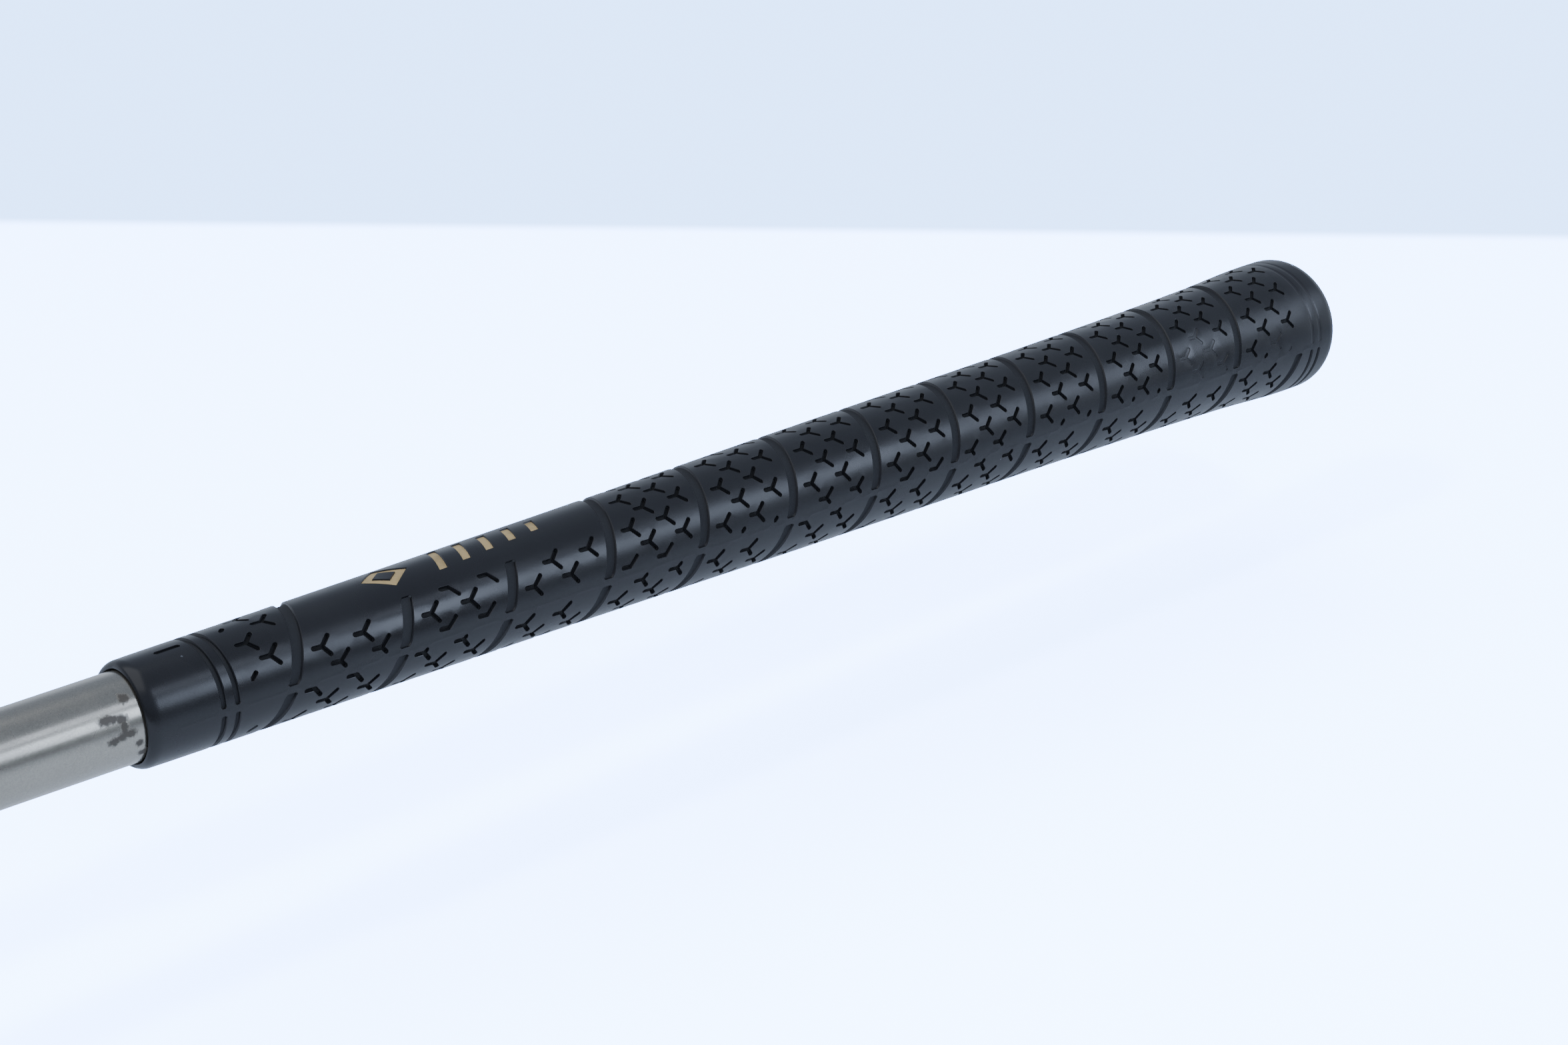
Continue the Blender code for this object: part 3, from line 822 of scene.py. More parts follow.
def add_spiral(skin, half_width):
    for turn in range(FIRST_TURN, LAST_TURN + 1):
        def place(angle, turn=turn):
            return spiral_place(turn, angle)
        for low, high in ((-90.0, 90.0), (90.0, 270.0)):
            clear = math.degrees(SEAM_CLEAR / float(grip_radius(place((low + high) / 2))))
            spans = [(low + clear, high - clear)]
            if turn in PANEL_TURNS and low < 0:
                spans = [(low + clear, -PANEL_HALF_ANGLE), (PANEL_HALF_ANGLE, high - clear)]
            for start, end in spans:
                if turn == LAST_TURN and start < 90.0:
                    continue
                start_limit = 360.0 * (turn - (TREAD_START + 1.4 - SPIRAL_START) / SPIRAL_PITCH)
                end = min(end, start_limit)
                if end - start > 8.0:
                    skin.add_recess(strip_outline(place, half_width, start, end), GROOVE_SECTION)


def add_rings(skin, half_width):
    for ring in RING_PLACES + CAP_RING_PLACES:
        clear = math.degrees(SEAM_CLEAR / float(grip_radius(ring)))
        for low, high in ((-90.0, 90.0), (90.0, 270.0)):
            worn = 0.12 if ring in CAP_RING_PLACES and low < 0 else 1.0
            outline = strip_outline(lambda angle, ring=ring: ring, half_width, low + clear, high - clear)
            skin.add_recess(outline, RING_SECTION, worn)


def add_marks(skin):
    """Generic alignment marks in the panel, and the slot before the rings."""
    skin.add_recess(star_outline((6.1, 0.0), ((0.0, 3.6),), 0.42), TREAD_SECTION)
    diamond = ((-4.4, 0.0), (0.0, -3.1), (4.4, 0.0), (0.0, 3.1))
    middle = (45.6, 0.0)
    skin.add_recess(polygon_outline(middle, diamond), MARK_SECTION, paint=True)
    island = polygon_outline(middle, [(x * 0.5, y * 0.5) for x, y in diamond])
    for inset, depth in ((0.0, 0.24), (0.10, 0.0)):
        skin.add_loop([(u, math.radians(a) * UNROLL_R) for u, a in island(inset)], depth)
    skin.painted.append(np.array([(u, math.radians(a) * UNROLL_R) for u, a in island(0.0)]))
    bar_count = 5
    for index in range(bar_count):
        tall = 3.0 - 0.34 * index
        lean = 0.36 * tall
        bar = ((-0.85 - lean, tall), (-0.85 + lean, -tall), (0.85 + lean, -tall), (0.85 - lean, tall))
        skin.add_recess(polygon_outline((55.6 + 4.6 * index, 0.0), bar), MARK_SECTION, paint=True)


def inside(points, loop):
    """Which points lie inside a closed loop."""
    result = np.zeros(len(points), bool)
    x, y = points[:, 0], points[:, 1]
    before = loop[-1]
    for here in loop:
        crosses = (here[1] > y) != (before[1] > y)
        if here[1] != before[1]:
            at = (before[0] - here[0]) * (y - here[1]) / (before[1] - here[1]) + here[0]
            result ^= crosses & (x < at)
        before = here
    return result


def near_loop(points, loop, margin):
    """Which points lie within a margin of a closed loop."""
    result = np.zeros(len(points), bool)
    for start, end in zip(loop, np.roll(loop, -1, axis=0)):
        span = end - start
        t = np.clip(((points - start) @ span) / max(span @ span, 1e-12), 0.0, 1.0)
        distance = np.linalg.norm(points - start - t[:, None] * span, axis=1)
        result |= distance < margin
    return result


def plain_points(skin):
    """A grid over the skin, left out inside the recesses, with a fine raised line at each seam."""
    rows = np.linspace(LIP_END, BODY_END, round((BODY_END - LIP_END) / SKIN_ROW_STEP) + 1)
    columns = np.radians(np.linspace(-90.0, 270.0, SKIN_COLUMNS + 1)) * UNROLL_R
    grid = np.array([(u, q) for u in rows for q in columns])
    seam_line = 0.022
    seams = np.radians((-90.0, 90.0, 270.0)) * UNROLL_R
    inner = (grid[:, 0] > rows[1]) & (grid[:, 0] < rows[-2])
    depths = np.where(inner & (np.abs(grid[:, 1][:, None] - seams).min(1) < 1e-6), -seam_line, 0.0)
    fringe = np.array([(u, q) for u in rows[2:-2] for q in
                       (seams[0] + 0.16, seams[1] - 0.16, seams[1] + 0.16, seams[2] - 0.16)])
    points = np.concatenate([grid, fringe])
    depths = np.concatenate([depths, np.zeros(len(fringe))])
    keep = np.ones(len(points), bool)
    for loop in skin.outlines:
        low, high = loop.min(0) - 0.5, loop.max(0) + 0.5
        box = np.where(((points > low) & (points < high)).all(1) & keep)[0]
        if len(box):
            gone = inside(points[box], loop) | near_loop(points[box], loop, 0.28)
            keep[box[gone]] = False
    return points[keep], depths[keep]


def build_skin_mesh(skin):
    """Triangulate the flat skin. Returns flat points, depths and triangles."""
    extra, extra_depths = plain_points(skin)
    points = skin.points + [tuple(p) for p in extra]
    depths = np.array(skin.depths + list(extra_depths))
    made = delaunay_2d_cdt([Vector(p) for p in points], skin.edges, [], 0, 1e-5)
    flat = np.array([tuple(v) for v in made[0]])
    depth = np.array([depths[sources].max() if sources else 0.0 for sources in made[3]])
    return flat, depth, made[2]


def wrap(along, angle, depth):
    """World place of a point of the skin: millimetres along, radians round, depth in millimetres."""
    radius = (grip_radius(along) - depth) * MM
    turn = angle + math.radians(GRIP_ROLL)
    return MOUTH_X + along * MM, -radius * np.sin(turn), AXIS_Z + radius * np.cos(turn)


def grip_end_profiles():
    """(along, radius, pull) rows from the skin's ends round the lip, the butt and the bore.

    Pull is how much of the lip's stretch on its near side a row takes part in.
    """
    lip_r = float(grip_radius(LIP_END))
    lip = [(LIP_END, lip_r, 0.0)]
    for step in range(1, 8):
        angle = math.radians(90.0 * step / 7)
        lip.append((LIP_END - (LIP_END - LIP_FRONT) * math.sin(angle),
                    lip_r - LIP_ROUND * (1 - math.cos(angle)), math.sin(angle)))
    bore_r = SHAFT_R_MOUTH / MM + 0.06
    lip += [(LIP_FRONT + 0.02, bore_r + 0.22, 1.0), (LIP_FRONT + 0.2, bore_r + 0.06, 1.0),
            (LIP_FRONT + 0.6, bore_r, 1.0), (22.0, bore_r + 0.12, 0.0)]
    cap_r = float(grip_radius(BODY_END))
    butt = [(BODY_END, cap_r)]
    for step in range(1, 11):
        angle = math.radians(9.0 * step)
        butt.append((BODY_END + BUTT_ROUND * math.sin(angle),
                     cap_r - BUTT_ROUND * (1 - math.cos(angle))))
    end = GRIP_LENGTH
    butt += [(end, 7.4), (end - 0.35, 7.2), (end - 0.35, 6.8), (end, 6.6), (end, 3.0), (end - 0.5, 2.4),
             (end - 0.6, 1.5), (end - 0.9, 1.3), (end - 9.0, 1.3)]
    inner_r = SHAFT_R_MOUTH / MM + SHAFT_TAPER_IN_GRIP * (end - 9.4) + 0.7
    butt += [(end - 9.4, 1.6), (end - 9.4, inner_r), (22.6, 7.1), (22.0, bore_r + 0.12)]
    return lip, [(along, radius, 0.0) for along, radius in butt]


def add_turned_rows(shape, rows):
    """Rows of faces round the grip, on the skin's own columns."""
    rings = []
    for along, radius, pull in rows:
        ring = []
        for index in range(SKIN_COLUMNS):
            turn = math.radians(-90.0 + 360.0 * index / SKIN_COLUMNS + GRIP_ROLL)
            stretch = pull * LIP_STRETCH * max(0.0, math.cos(turn - LIP_STRETCH_SIDE))
            ring.append(shape.verts.new(round_axis(MOUTH_X + (along - stretch) * MM, radius * MM, turn)))
        rings.append(ring)
    for first, second in zip(rings, rings[1:]):
        for index in range(SKIN_COLUMNS):
            after = (index + 1) % SKIN_COLUMNS
            shape.faces.new((first[index], first[after], second[after], second[index]))


def make_grip(settings):
    skin = FlatSkin()
    add_rings(skin, settings.ring_half_width)
    add_spiral(skin, settings.groove_half_width)
    add_treads(skin, settings.tread_half_width)
    add_marks(skin)
    flat, depth, faces = build_skin_mesh(skin)
    x, y, z = wrap(flat[:, 0], flat[:, 1] / UNROLL_R, depth)
    shape = bmesh.new()
    recess = shape.verts.layers.float.new("recess")
    vertices = [shape.verts.new(place) for place in zip(x, y, z)]
    for vertex, amount in zip(vertices, np.maximum(depth, 0.0)):
        vertex[recess] = amount
    for face in faces:
        shape.faces.new([vertices[index] for index in face])
    lip, butt = grip_end_profiles()
    add_turned_rows(shape, lip)
    add_turned_rows(shape, butt)
    bmesh.ops.remove_doubles(shape, verts=shape.verts, dist=2e-6)
    mesh = mesh_from_shape(shape, "grip_skin")
    grip = finish_piece(mesh, "grip_skin", "stick", "grip_rubber", ("grip_sleeve",))
    make_mark_paint(skin, flat, depth, faces)
    return grip


def make_mark_paint(skin, flat, depth, faces):
    """A thin closed film of paint on the floors of the alignment marks."""
    centres = np.array([flat[list(face)].mean(0) for face in faces])
    painted = np.zeros(len(faces), bool)
    for loop in skin.painted:
        low, high = loop.min(0), loop.max(0)
        box = np.where(((centres > low) & (centres < high)).all(1))[0]
        if len(box):
            painted[box] ^= inside(centres[box], loop)
    shape = bmesh.new()
    made = {}
    lift = 0.03
    for index in np.where(painted)[0]:
        corners = []
        for vertex in faces[index]:
            if vertex not in made:
                place = wrap(flat[vertex, 0], flat[vertex, 1] / UNROLL_R, depth[vertex] - lift)
                made[vertex] = shape.verts.new([float(value) for value in place])
            corners.append(made[vertex])
        shape.faces.new(corners)
    for face in shape.faces:
        face.normal_update()
        middle = face.calc_center_median()
        if face.normal.dot(Vector((0.0, middle.y, middle.z - AXIS_Z))) < 0:
            face.normal_flip()
    thick = add_object("mark_paint_film", plain_mesh(shape, "mark_paint"))
    solid = thick.modifiers.new("Film", "SOLIDIFY")
    solid.thickness = 0.06 * MM
    solid.offset = -1.0
    film = evaluated_mesh(thick)
    return finish_piece(film, "mark_paint", "stick", "grip_rubber", (), MATERIALS["mark_paint"])


# ---------------------------------------------------------------- shaft and head
def shaft_radius(x):
    past = x - MOUTH_X
    return SHAFT_R_MOUTH + (SHAFT_TAPER_IN_GRIP if past > 0 else SHAFT_TAPER_OUT) * past


def make_shaft():
    low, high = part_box("shaft_tube")
    tip, end = low[0], high[0]
    fine = 0.4 * MM
    profile = [(end, shaft_radius(end), fine), (MOUTH_X, SHAFT_R_MOUTH, 0.0),
               (tip, shaft_radius(tip), fine), (tip, shaft_radius(tip) - SHAFT_WALL, fine),
               (MOUTH_X, SHAFT_R_MOUTH - SHAFT_WALL, 0.0), (end, shaft_radius(end) - SHAFT_WALL, fine)]
    return turned_piece("shaft", profile, "stick", "shaft_paint", ("shaft_tube",))


def make_ferrule():
    top, bottom, end_r = extents("ferrule")
    length = top - bottom
    lip_r = shaft_radius(top) + 0.55 * MM
    profile = []
    steps = 28
    grooves = ((0.70, 0.8), (0.84, 0.8))
    for step in range(steps + 1):
        part = step / steps
        swell = math.sin(part * math.pi / 2)
        radius = lip_r + (end_r - lip_r) * swell
        for place, width in grooves:
            near = abs(part - place) * length / MM
            if near < width / 2:
                radius -= 0.35 * MM
        profile.append((top - length * part, radius, 0.12 * MM))
    bore = 0.08 * MM
    profile.append((bottom, shaft_radius(bottom) + bore, 0.0))
    profile.append((top, shaft_radius(top) + bore, 0.0))
    return turned_piece("ferrule_turned", profile, "stick", "ferrule_black", ("ferrule",))


def make_trim_ring():
    top, bottom, outer = extents("trim_ring")
    middle = (top + bottom) / 2
    notch = 0.3 * MM
    profile = [
        (top, outer, 0.5 * MM), (middle + notch, outer, 0.1 * MM), (middle, outer - notch, 0.1 * MM),
        (middle - notch, outer, 0.1 * MM), (bottom, outer, 0.5 * MM),
        (bottom, shaft_radius(bottom) + 0.1 * MM, 0.0), (top, shaft_radius(top) + 0.1 * MM, 0.0),
    ]
    return turned_piece("trim_ring_polished", profile, "stick", "trim_steel", ("trim_ring",))


def make_adapter():
    top, bottom, body_r = extents("adapter")
    neck_r = 9.2 * MM
    profile = [(top, neck_r, 0.35 * MM), (top - 14.0 * MM, neck_r, 0.8 * MM)]
    steps = 14
    for step in range(1, steps):
        part = step / steps
        rise = (1 - math.cos(part * math.pi)) / 2
        profile.append((top - (14.0 + 12.0 * part) * MM, neck_r + (body_r - neck_r) * rise, 0.0))
    profile.append((top - 26.0 * MM, body_r, 0.4 * MM))
    for centre in (42.2, 45.2):
        x = top - centre * MM
        profile += [(x + 0.6 * MM, body_r, 0.1 * MM), (x + 0.3 * MM, body_r - 0.55 * MM, 0.1 * MM),
                    (x - 0.3 * MM, body_r - 0.55 * MM, 0.1 * MM), (x - 0.6 * MM, body_r, 0.1 * MM)]
    socket_end = top - 28.0 * MM
    hole_r = 4.15 * MM
    profile += [
        (bottom, body_r, 0.8 * MM), (bottom, hole_r, 0.3 * MM), (bottom + 17.4 * MM, hole_r, 0.0),
        (bottom + 17.4 * MM, 1.0 * MM, 0.0), (socket_end, 1.0 * MM, 0.0),
        (socket_end, shaft_radius(socket_end) + 0.1 * MM, 0.0),
        (top, shaft_radius(top) + 0.1 * MM, 0.2 * MM),
    ]
    mesh = turned_mesh("adapter_body", rounded(profile))
    shape = bmesh.new()
    screw_low, screw_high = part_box("lock_screw_right")
    screw_x = (screw_low[0] + screw_high[0]) / 2
    for side in (-1, 1):
        rod(shape, 1.7 * MM, (screw_x, side * 4.9 * MM, AXIS_Z), (screw_x, side * 12.0 * MM, AXIS_Z))
        flat_z = AXIS_Z + side * (11.2 * MM + 2.0 * MM)
        box = Matrix.Translation((top - 34.2 * MM, 0.0, flat_z)) @ Matrix.Diagonal(
            (8.0 * MM, 26.0 * MM, 4.0 * MM, 1.0))
        bmesh.ops.create_cube(shape, size=1.0, matrix=box)
    mesh = cut_mesh(mesh, plain_mesh(shape, "adapter_cutter"), "adapter_body")
    return finish_piece(mesh, "adapter_body", "stick", "adapter_dark", ("adapter",))


def make_lock_screws():
    for node, side in (("lock_screw_left", -1), ("lock_screw_right", 1)):
        low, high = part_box(node)
        x = (low[0] + high[0]) / 2
        ends = sorted((low[1], high[1]), key=abs)
        shape = bmesh.new()
        ease = 0.25 * MM
        rod(shape, 1.5 * MM, (x, ends[0], AXIS_Z), (x, ends[1] - side * ease, AXIS_Z), 40)
        rod(shape, 1.5 * MM, (x, ends[1] - side * ease, AXIS_Z), (x, ends[1], AXIS_Z), 40, 1.25 * MM)
        mesh = mesh_from_shape(shape, node + "_body")
        shape = bmesh.new()
        rod(shape, 0.9 * MM, (x, ends[1] - side * 1.4 * MM, AXIS_Z), (x, ends[1] + side * MM, AXIS_Z), 6)
        mesh = cut_mesh(mesh, plain_mesh(shape, node + "_socket"), node + "_body")
        finish_piece(mesh, node + "_body", "stick", "fastener_steel", (node,))


def make_bumper():
    """Octagon with eased corners and a groove round its middle."""
    low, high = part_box("bumper_ring")
    top, bottom = high[0], low[0]
    flat_r = AXIS_Z - low[2]
    bore = 4.1 * MM
    ease = 0.12 * MM  # how softly the flats run into the eased corners

    def to_octagon(x, r, angle):
        if r < 9.0 * MM:
            return 0.0
        eighth = math.pi / 4
        off = (angle + eighth / 2) % eighth - eighth / 2
        straight = flat_r / math.cos(off)
        corner_r = flat_r * 1.058
        soft = -math.log(math.exp(-straight / ease) + math.exp(-corner_r / ease)) * ease
        return min(soft, straight) - flat_r

    middle = (top + bottom) / 2
    profile = [
        (top, bore, 0.3 * MM), (top, flat_r, 1.0 * MM), (middle + 0.7 * MM, flat_r, 0.15 * MM),
        (middle + 0.4 * MM, flat_r - 0.5 * MM, 0.1 * MM), (middle - 0.4 * MM, flat_r - 0.5 * MM, 0.1 * MM),
        (middle - 0.7 * MM, flat_r, 0.15 * MM), (bottom, flat_r, 1.0 * MM), (bottom, bore, 0.3 * MM),
    ]
    points = rounded(profile)
    mesh = turned_mesh("bumper_octagon", points, segments=128, radius_change=to_octagon)
    finish_piece(mesh, "bumper_octagon", "stick", "bumper_rubber", ("bumper_ring",), sharp_angle=40.0)


def make_weight(index):
    node = f"weight_{index}"
    top, bottom, outer = extents(node)
    bore = 4.4 * MM
    middle = (top + bottom) / 2
    half = 2.6 * MM
    floor = outer - 0.7 * MM
    side = [
        (top, bore + 0.4 * MM, 0.2 * MM), (top, 10.6 * MM, 0.1 * MM),
        (top - 0.25 * MM, 10.75 * MM, 0.1 * MM), (top - 0.25 * MM, outer - 0.9 * MM, 0.2 * MM),
        (top - 1.0 * MM, outer, 0.4 * MM), (middle + half + 0.9 * MM, outer, 0.15 * MM),
        (middle + half + 0.6 * MM, outer - 0.3 * MM, 0.1 * MM),
        (middle + half + 0.3 * MM, outer, 0.15 * MM),
        (middle + half, outer, 0.1 * MM), (middle + half - 0.35 * MM, floor, 0.15 * MM),
    ]
    mirrored = [(2 * middle - x, r, corner) for x, r, corner in reversed(side)]
    inner = [(bottom + 0.4 * MM, bore, 0.1 * MM), (top - 0.4 * MM, bore, 0.1 * MM)]
    mesh = turned_mesh(node + "_turned", rounded(side + mirrored + inner, steps=3))
    body = f"weight_ring_{index}"
    finish_piece(mesh, node + "_turned", body, "weight_steel", (node,))
    return body, middle, floor, half


def geometry_tree(name, inputs):
    """A Geometry Nodes tree and its input sockets: the named ones (name, kind, default) and two more."""
    tree = bpy.data.node_groups.new(name, "GeometryNodeTree")
    tree.interface.new_socket("Geometry", in_out="OUTPUT", socket_type="NodeSocketGeometry")
    for label, kind, default in inputs + (("Place", "Vector", None), ("Material", "Material", None)):
        socket = tree.interface.new_socket(label, in_out="INPUT", socket_type="NodeSocket" + kind)
        if default is not None:
            socket.default_value = default
    return tree, put(tree, "NodeGroupInput").outputs


def lay_along_axis(tree, given, geometry):
    """End a tree: lie its Z along the stick at a place, made real and with its material."""
    turn = put(tree, "GeometryNodeTransform", geometry, translation=given["Place"],
               rotation=(0.0, math.pi / 2, 0.0))
    real = put(tree, "GeometryNodeRealizeInstances", turn.outputs[0])
    skin = put(tree, "GeometryNodeSetMaterial", real.outputs[0], material=given["Material"])
    put(tree, "NodeGroupOutput", skin.outputs[0])
    return tree


def knurl_tree():
    """Geometry Nodes: a ring of fine ribs round the stick's axis."""
    tree, given = geometry_tree("knurl_ribs", (
        ("Count", "Int", 72), ("Ring Radius", "Float", 0.0116), ("Rib Length", "Float", 0.0044),
        ("Rib Width", "Float", 0.00055)))
    ring = put(tree, "GeometryNodeMeshCircle", vertices=given["Count"], radius=given["Ring Radius"])
    size = put(tree, "ShaderNodeCombineXYZ", given["Rib Width"], given["Rib Width"], given["Rib Length"])
    rib = put(tree, "GeometryNodeMeshCube", size=size.outputs[0])
    around = put(tree, "GeometryNodeInputPosition")
    aim = put(tree, "FunctionNodeAlignRotationToVector", axis="X", pivot_axis="Z",
              vector=around.outputs[0])
    spin = put(tree, "FunctionNodeRotateRotation", aim.outputs[0], (0.0, 0.0, math.pi / 4),
               rotation_space="LOCAL")
    copies = put(tree, "GeometryNodeInstanceOnPoints", points=ring.outputs[0],
                 instance=rib.outputs["Mesh"], rotation=spin.outputs[0])
    return lay_along_axis(tree, given, copies.outputs[0])


def thread_tree():
    """Geometry Nodes: a threaded rod along the stick's axis."""
    tree, given = geometry_tree("thread", (
        ("Core Radius", "Float", 0.0034), ("Pitch", "Float", 0.00125), ("Length", "Float", 0.09),
        ("Ridge", "Float", 0.00062)))
    core_r = given["Core Radius"]
    run = maths(tree, "SUBTRACT", given["Length"], 0.002)
    spiral = put(tree, "GeometryNodeCurveSpiral", resolution=20, start_radius=core_r, end_radius=core_r,
                 rotations=maths(tree, "DIVIDE", run, given["Pitch"]), height=run)
    section = put(tree, "GeometryNodeCurvePrimitiveCircle", resolution=4, radius=given["Ridge"])
    ridge = put(tree, "GeometryNodeCurveToMesh", curve=spiral.outputs[0],
                profile_curve=section.outputs[0], fill_caps=True)
    down = put(tree, "ShaderNodeCombineXYZ", z=maths(tree, "MULTIPLY", run, -0.5))
    centred = put(tree, "GeometryNodeTransform", ridge.outputs[0], translation=down.outputs[0])
    core = put(tree, "GeometryNodeMeshCylinder", vertices=48, radius=core_r, depth=given["Length"])
    both = put(tree, "GeometryNodeJoinGeometry", core.outputs["Mesh"])
    feed(tree, both.inputs[0], centred.outputs[0])
    return lay_along_axis(tree, given, both.outputs[0])


def mesh_from_tree(tree, name, values):
    """Run a Geometry Nodes tree with the given inputs and return the plain mesh it makes."""
    carrier = add_object(name, bpy.data.meshes.new(name + "_seed"))
    modifier = carrier.modifiers.new("Build", "NODES")
    modifier.node_group = tree
    sockets = {item.name: item.identifier for item in tree.interface.items_tree if item.in_out == "INPUT"}
    for label, value in values.items():
        modifier[sockets[label]] = value
    mesh = evaluated_mesh(carrier)
    if not mesh.polygons:
        raise RuntimeError(f"{name} came out empty")
    return mesh


def make_weights(settings):
    tree = knurl_tree()
    for index in (1, 2, 3):
        body, middle, floor, half = make_weight(index)
        mesh = mesh_from_tree(tree, f"knurl_{index}", {
            "Count": settings.knurl_ribs, "Ring Radius": floor, "Rib Length": 2 * half - 1.1 * MM,
            "Rib Width": 0.6 * MM, "Place": (middle, 0.0, AXIS_Z),
            "Material": material_for("weight_steel")})
        finish_piece(mesh, f"weight_{index}_knurl", body, "weight_steel")
    for index, body in ((1, "weight_ring_2"), (2, "weight_ring_3")):
        top, bottom, outer = extents(f"o_ring_{index}")
        centre = (bottom + top) / 2
        minor = 0.8 * MM
        major = outer - minor
        points = [(centre - minor * math.sin(a), major + minor * math.cos(a))
                  for a in (2 * math.pi * i / 20 for i in range(20))]
        mesh = turned_mesh(f"o_ring_{index}_round", points)
        finish_piece(mesh, f"o_ring_{index}_round", body, "bumper_rubber", (f"o_ring_{index}",))


def make_spindle(settings):
    top, bottom, _ = extents("spindle")
    mesh = mesh_from_tree(thread_tree(), "spindle_thread", {
        "Core Radius": 3.45 * MM, "Pitch": settings.thread_pitch, "Length": top - bottom,
        "Ridge": 0.56 * MM, "Place": ((bottom + top) / 2, 0.0, AXIS_Z),
        "Material": material_for("fastener_steel")})
    finish_piece(mesh, "spindle_thread", "stick", "fastener_steel", ("spindle",))


def make_washers():
    inner = 4.4 * MM
    top, bottom, outer = extents("wave_washer")
    middle = (bottom + top) / 2
    half = 0.22 * MM
    swing = (top - bottom) / 2 - half - 0.02 * MM
    profile = [(middle + half, inner, 0.1 * MM), (middle + half, outer, 0.15 * MM),
               (middle - half, outer, 0.15 * MM), (middle - half, inner, 0.1 * MM)]
    mesh = turned_mesh("wave_washer_sprung", rounded(profile),
                       x_change=lambda x, r, angle: swing * math.cos(3 * angle))
    finish_piece(mesh, "wave_washer_sprung", "washers", "fastener_steel", ("wave_washer",))
    top, bottom, outer = extents("flat_washer")
    edge = 0.3 * MM
    profile = [(top, inner, 0.15 * MM), (top, outer, edge), (bottom, outer, edge),
               (bottom, inner, 0.15 * MM)]
    turned_piece("flat_washer_plate", profile, "washers", "fastener_steel", ("flat_washer",))


def make_knob(settings):
    top, bottom, outer = extents("end_knob")
    pocket_r, pocket_floor = 8.9 * MM, bottom + 3.0 * MM
    insert_r = 6.8 * MM
    flute_depth = 0.95 * MM

    def flute(x, r, angle):
        if r < outer - 1.4 * MM:
            return 0.0
        start = min(1.0, max(0.0, (top - 2.4 * MM - x) / (1.2 * MM)))
        rim = min(1.0, max(0.0, (r - (outer - 1.4 * MM)) / (1.0 * MM)))
        wave = max(0.0, math.cos(settings.flutes * angle)) ** 0.9
        return -flute_depth * wave * start * start * (3 - 2 * start) * rim
    profile = [
        (top, insert_r, 0.2 * MM), (top, outer, 0.7 * MM), (top - 1.4 * MM, outer, 0.15 * MM),
        (top - 1.7 * MM, outer - 0.3 * MM, 0.1 * MM), (top - 2.0 * MM, outer, 0.15 * MM),
    ]
    rows = 10
    for row in range(1, rows):
        profile.append((top - 2.4 * MM - (top - 2.4 * MM - bottom - 2.2 * MM) * row / rows, outer, 0.0))
    profile += [
        (bottom, outer, 2.2 * MM), (bottom, pocket_r, 0.25 * MM), (pocket_floor, pocket_r, 0.0),
        (pocket_floor, 1.0 * MM, 0.0), (pocket_floor + 1.5 * MM, 1.0 * MM, 0.0),
        (pocket_floor + 1.5 * MM, insert_r, 0.0),
    ]
    mesh = turned_mesh("end_knob_fluted", rounded(profile, steps=6), segments=192, radius_change=flute)
    finish_piece(mesh, "end_knob_fluted", "knob", "adapter_dark", ("end_knob",), sharp_angle=40.0)
    top, bottom, outer = extents("nose_pad")
    profile = [(top, 0.0, 0.0), (top, outer, 0.2 * MM), (bottom, outer, 0.9 * MM)]
    for ring in (6.2, 4.0):
        profile += [(bottom, (ring + 0.5) * MM, 0.1 * MM), (bottom + 0.4 * MM, (ring + 0.2) * MM, 0.1 * MM),
                    (bottom + 0.4 * MM, (ring - 0.2) * MM, 0.1 * MM), (bottom, (ring - 0.5) * MM, 0.1 * MM)]
    profile.append((bottom, 0.0, 0.0))
    turned_piece("nose_pad_ribbed", profile, "knob", "bumper_rubber", ("nose_pad",))


def dress_hidden_nodes():
    """Better materials for the CAD solids that stay as they are."""
    for node, slot_name in (("grip_tape", "tape_paper"), ("shaft_plug", "plug_cork"),
                            ("knob_insert", "insert_brass")):
        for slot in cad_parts[node].material_slots:
            slot.material = material_for(slot_name)


# ---------------------------------------------------------------- stage
CAMERA_PLACE = (-0.14974, -0.32505, 0.17577)
CAMERA_TURN = math.radians(-46.06)
CAMERA_DIP = math.radians(19.77)
FLOOR_AHEAD = Vector((math.cos(math.radians(41.6)), math.sin(math.radians(41.6)), 0.0))
FLOOR_ACROSS = Vector((FLOOR_AHEAD.y, -FLOOR_AHEAD.x, 0.0))
FLOOR_START = Vector((0.10, 0.0, 0.0))
FLOOR_FAR = 0.446
FLOOR_NEAR = -2.6
FLOOR_SIDE = 2.6


def add_area_light(name, target, azimuth, elevation, distance, size, power, color):
    """A rectangular light seen from target at an azimuth (from +X) and elevation, facing it."""
    around, up = math.radians(azimuth), math.radians(elevation)
    direction = Vector((math.cos(up) * math.cos(around), math.cos(up) * math.sin(around), math.sin(up)))
    light = bpy.data.lights.new(name, "AREA")
    light.shape = "RECTANGLE"
    light.size, light.size_y = size
    light.energy = power
    light.color = color
    item = add_object(name, light)
    item.location = Vector(target) + direction * distance
    item.rotation_euler = direction.to_track_quat("Z", "Y").to_euler()
    return item


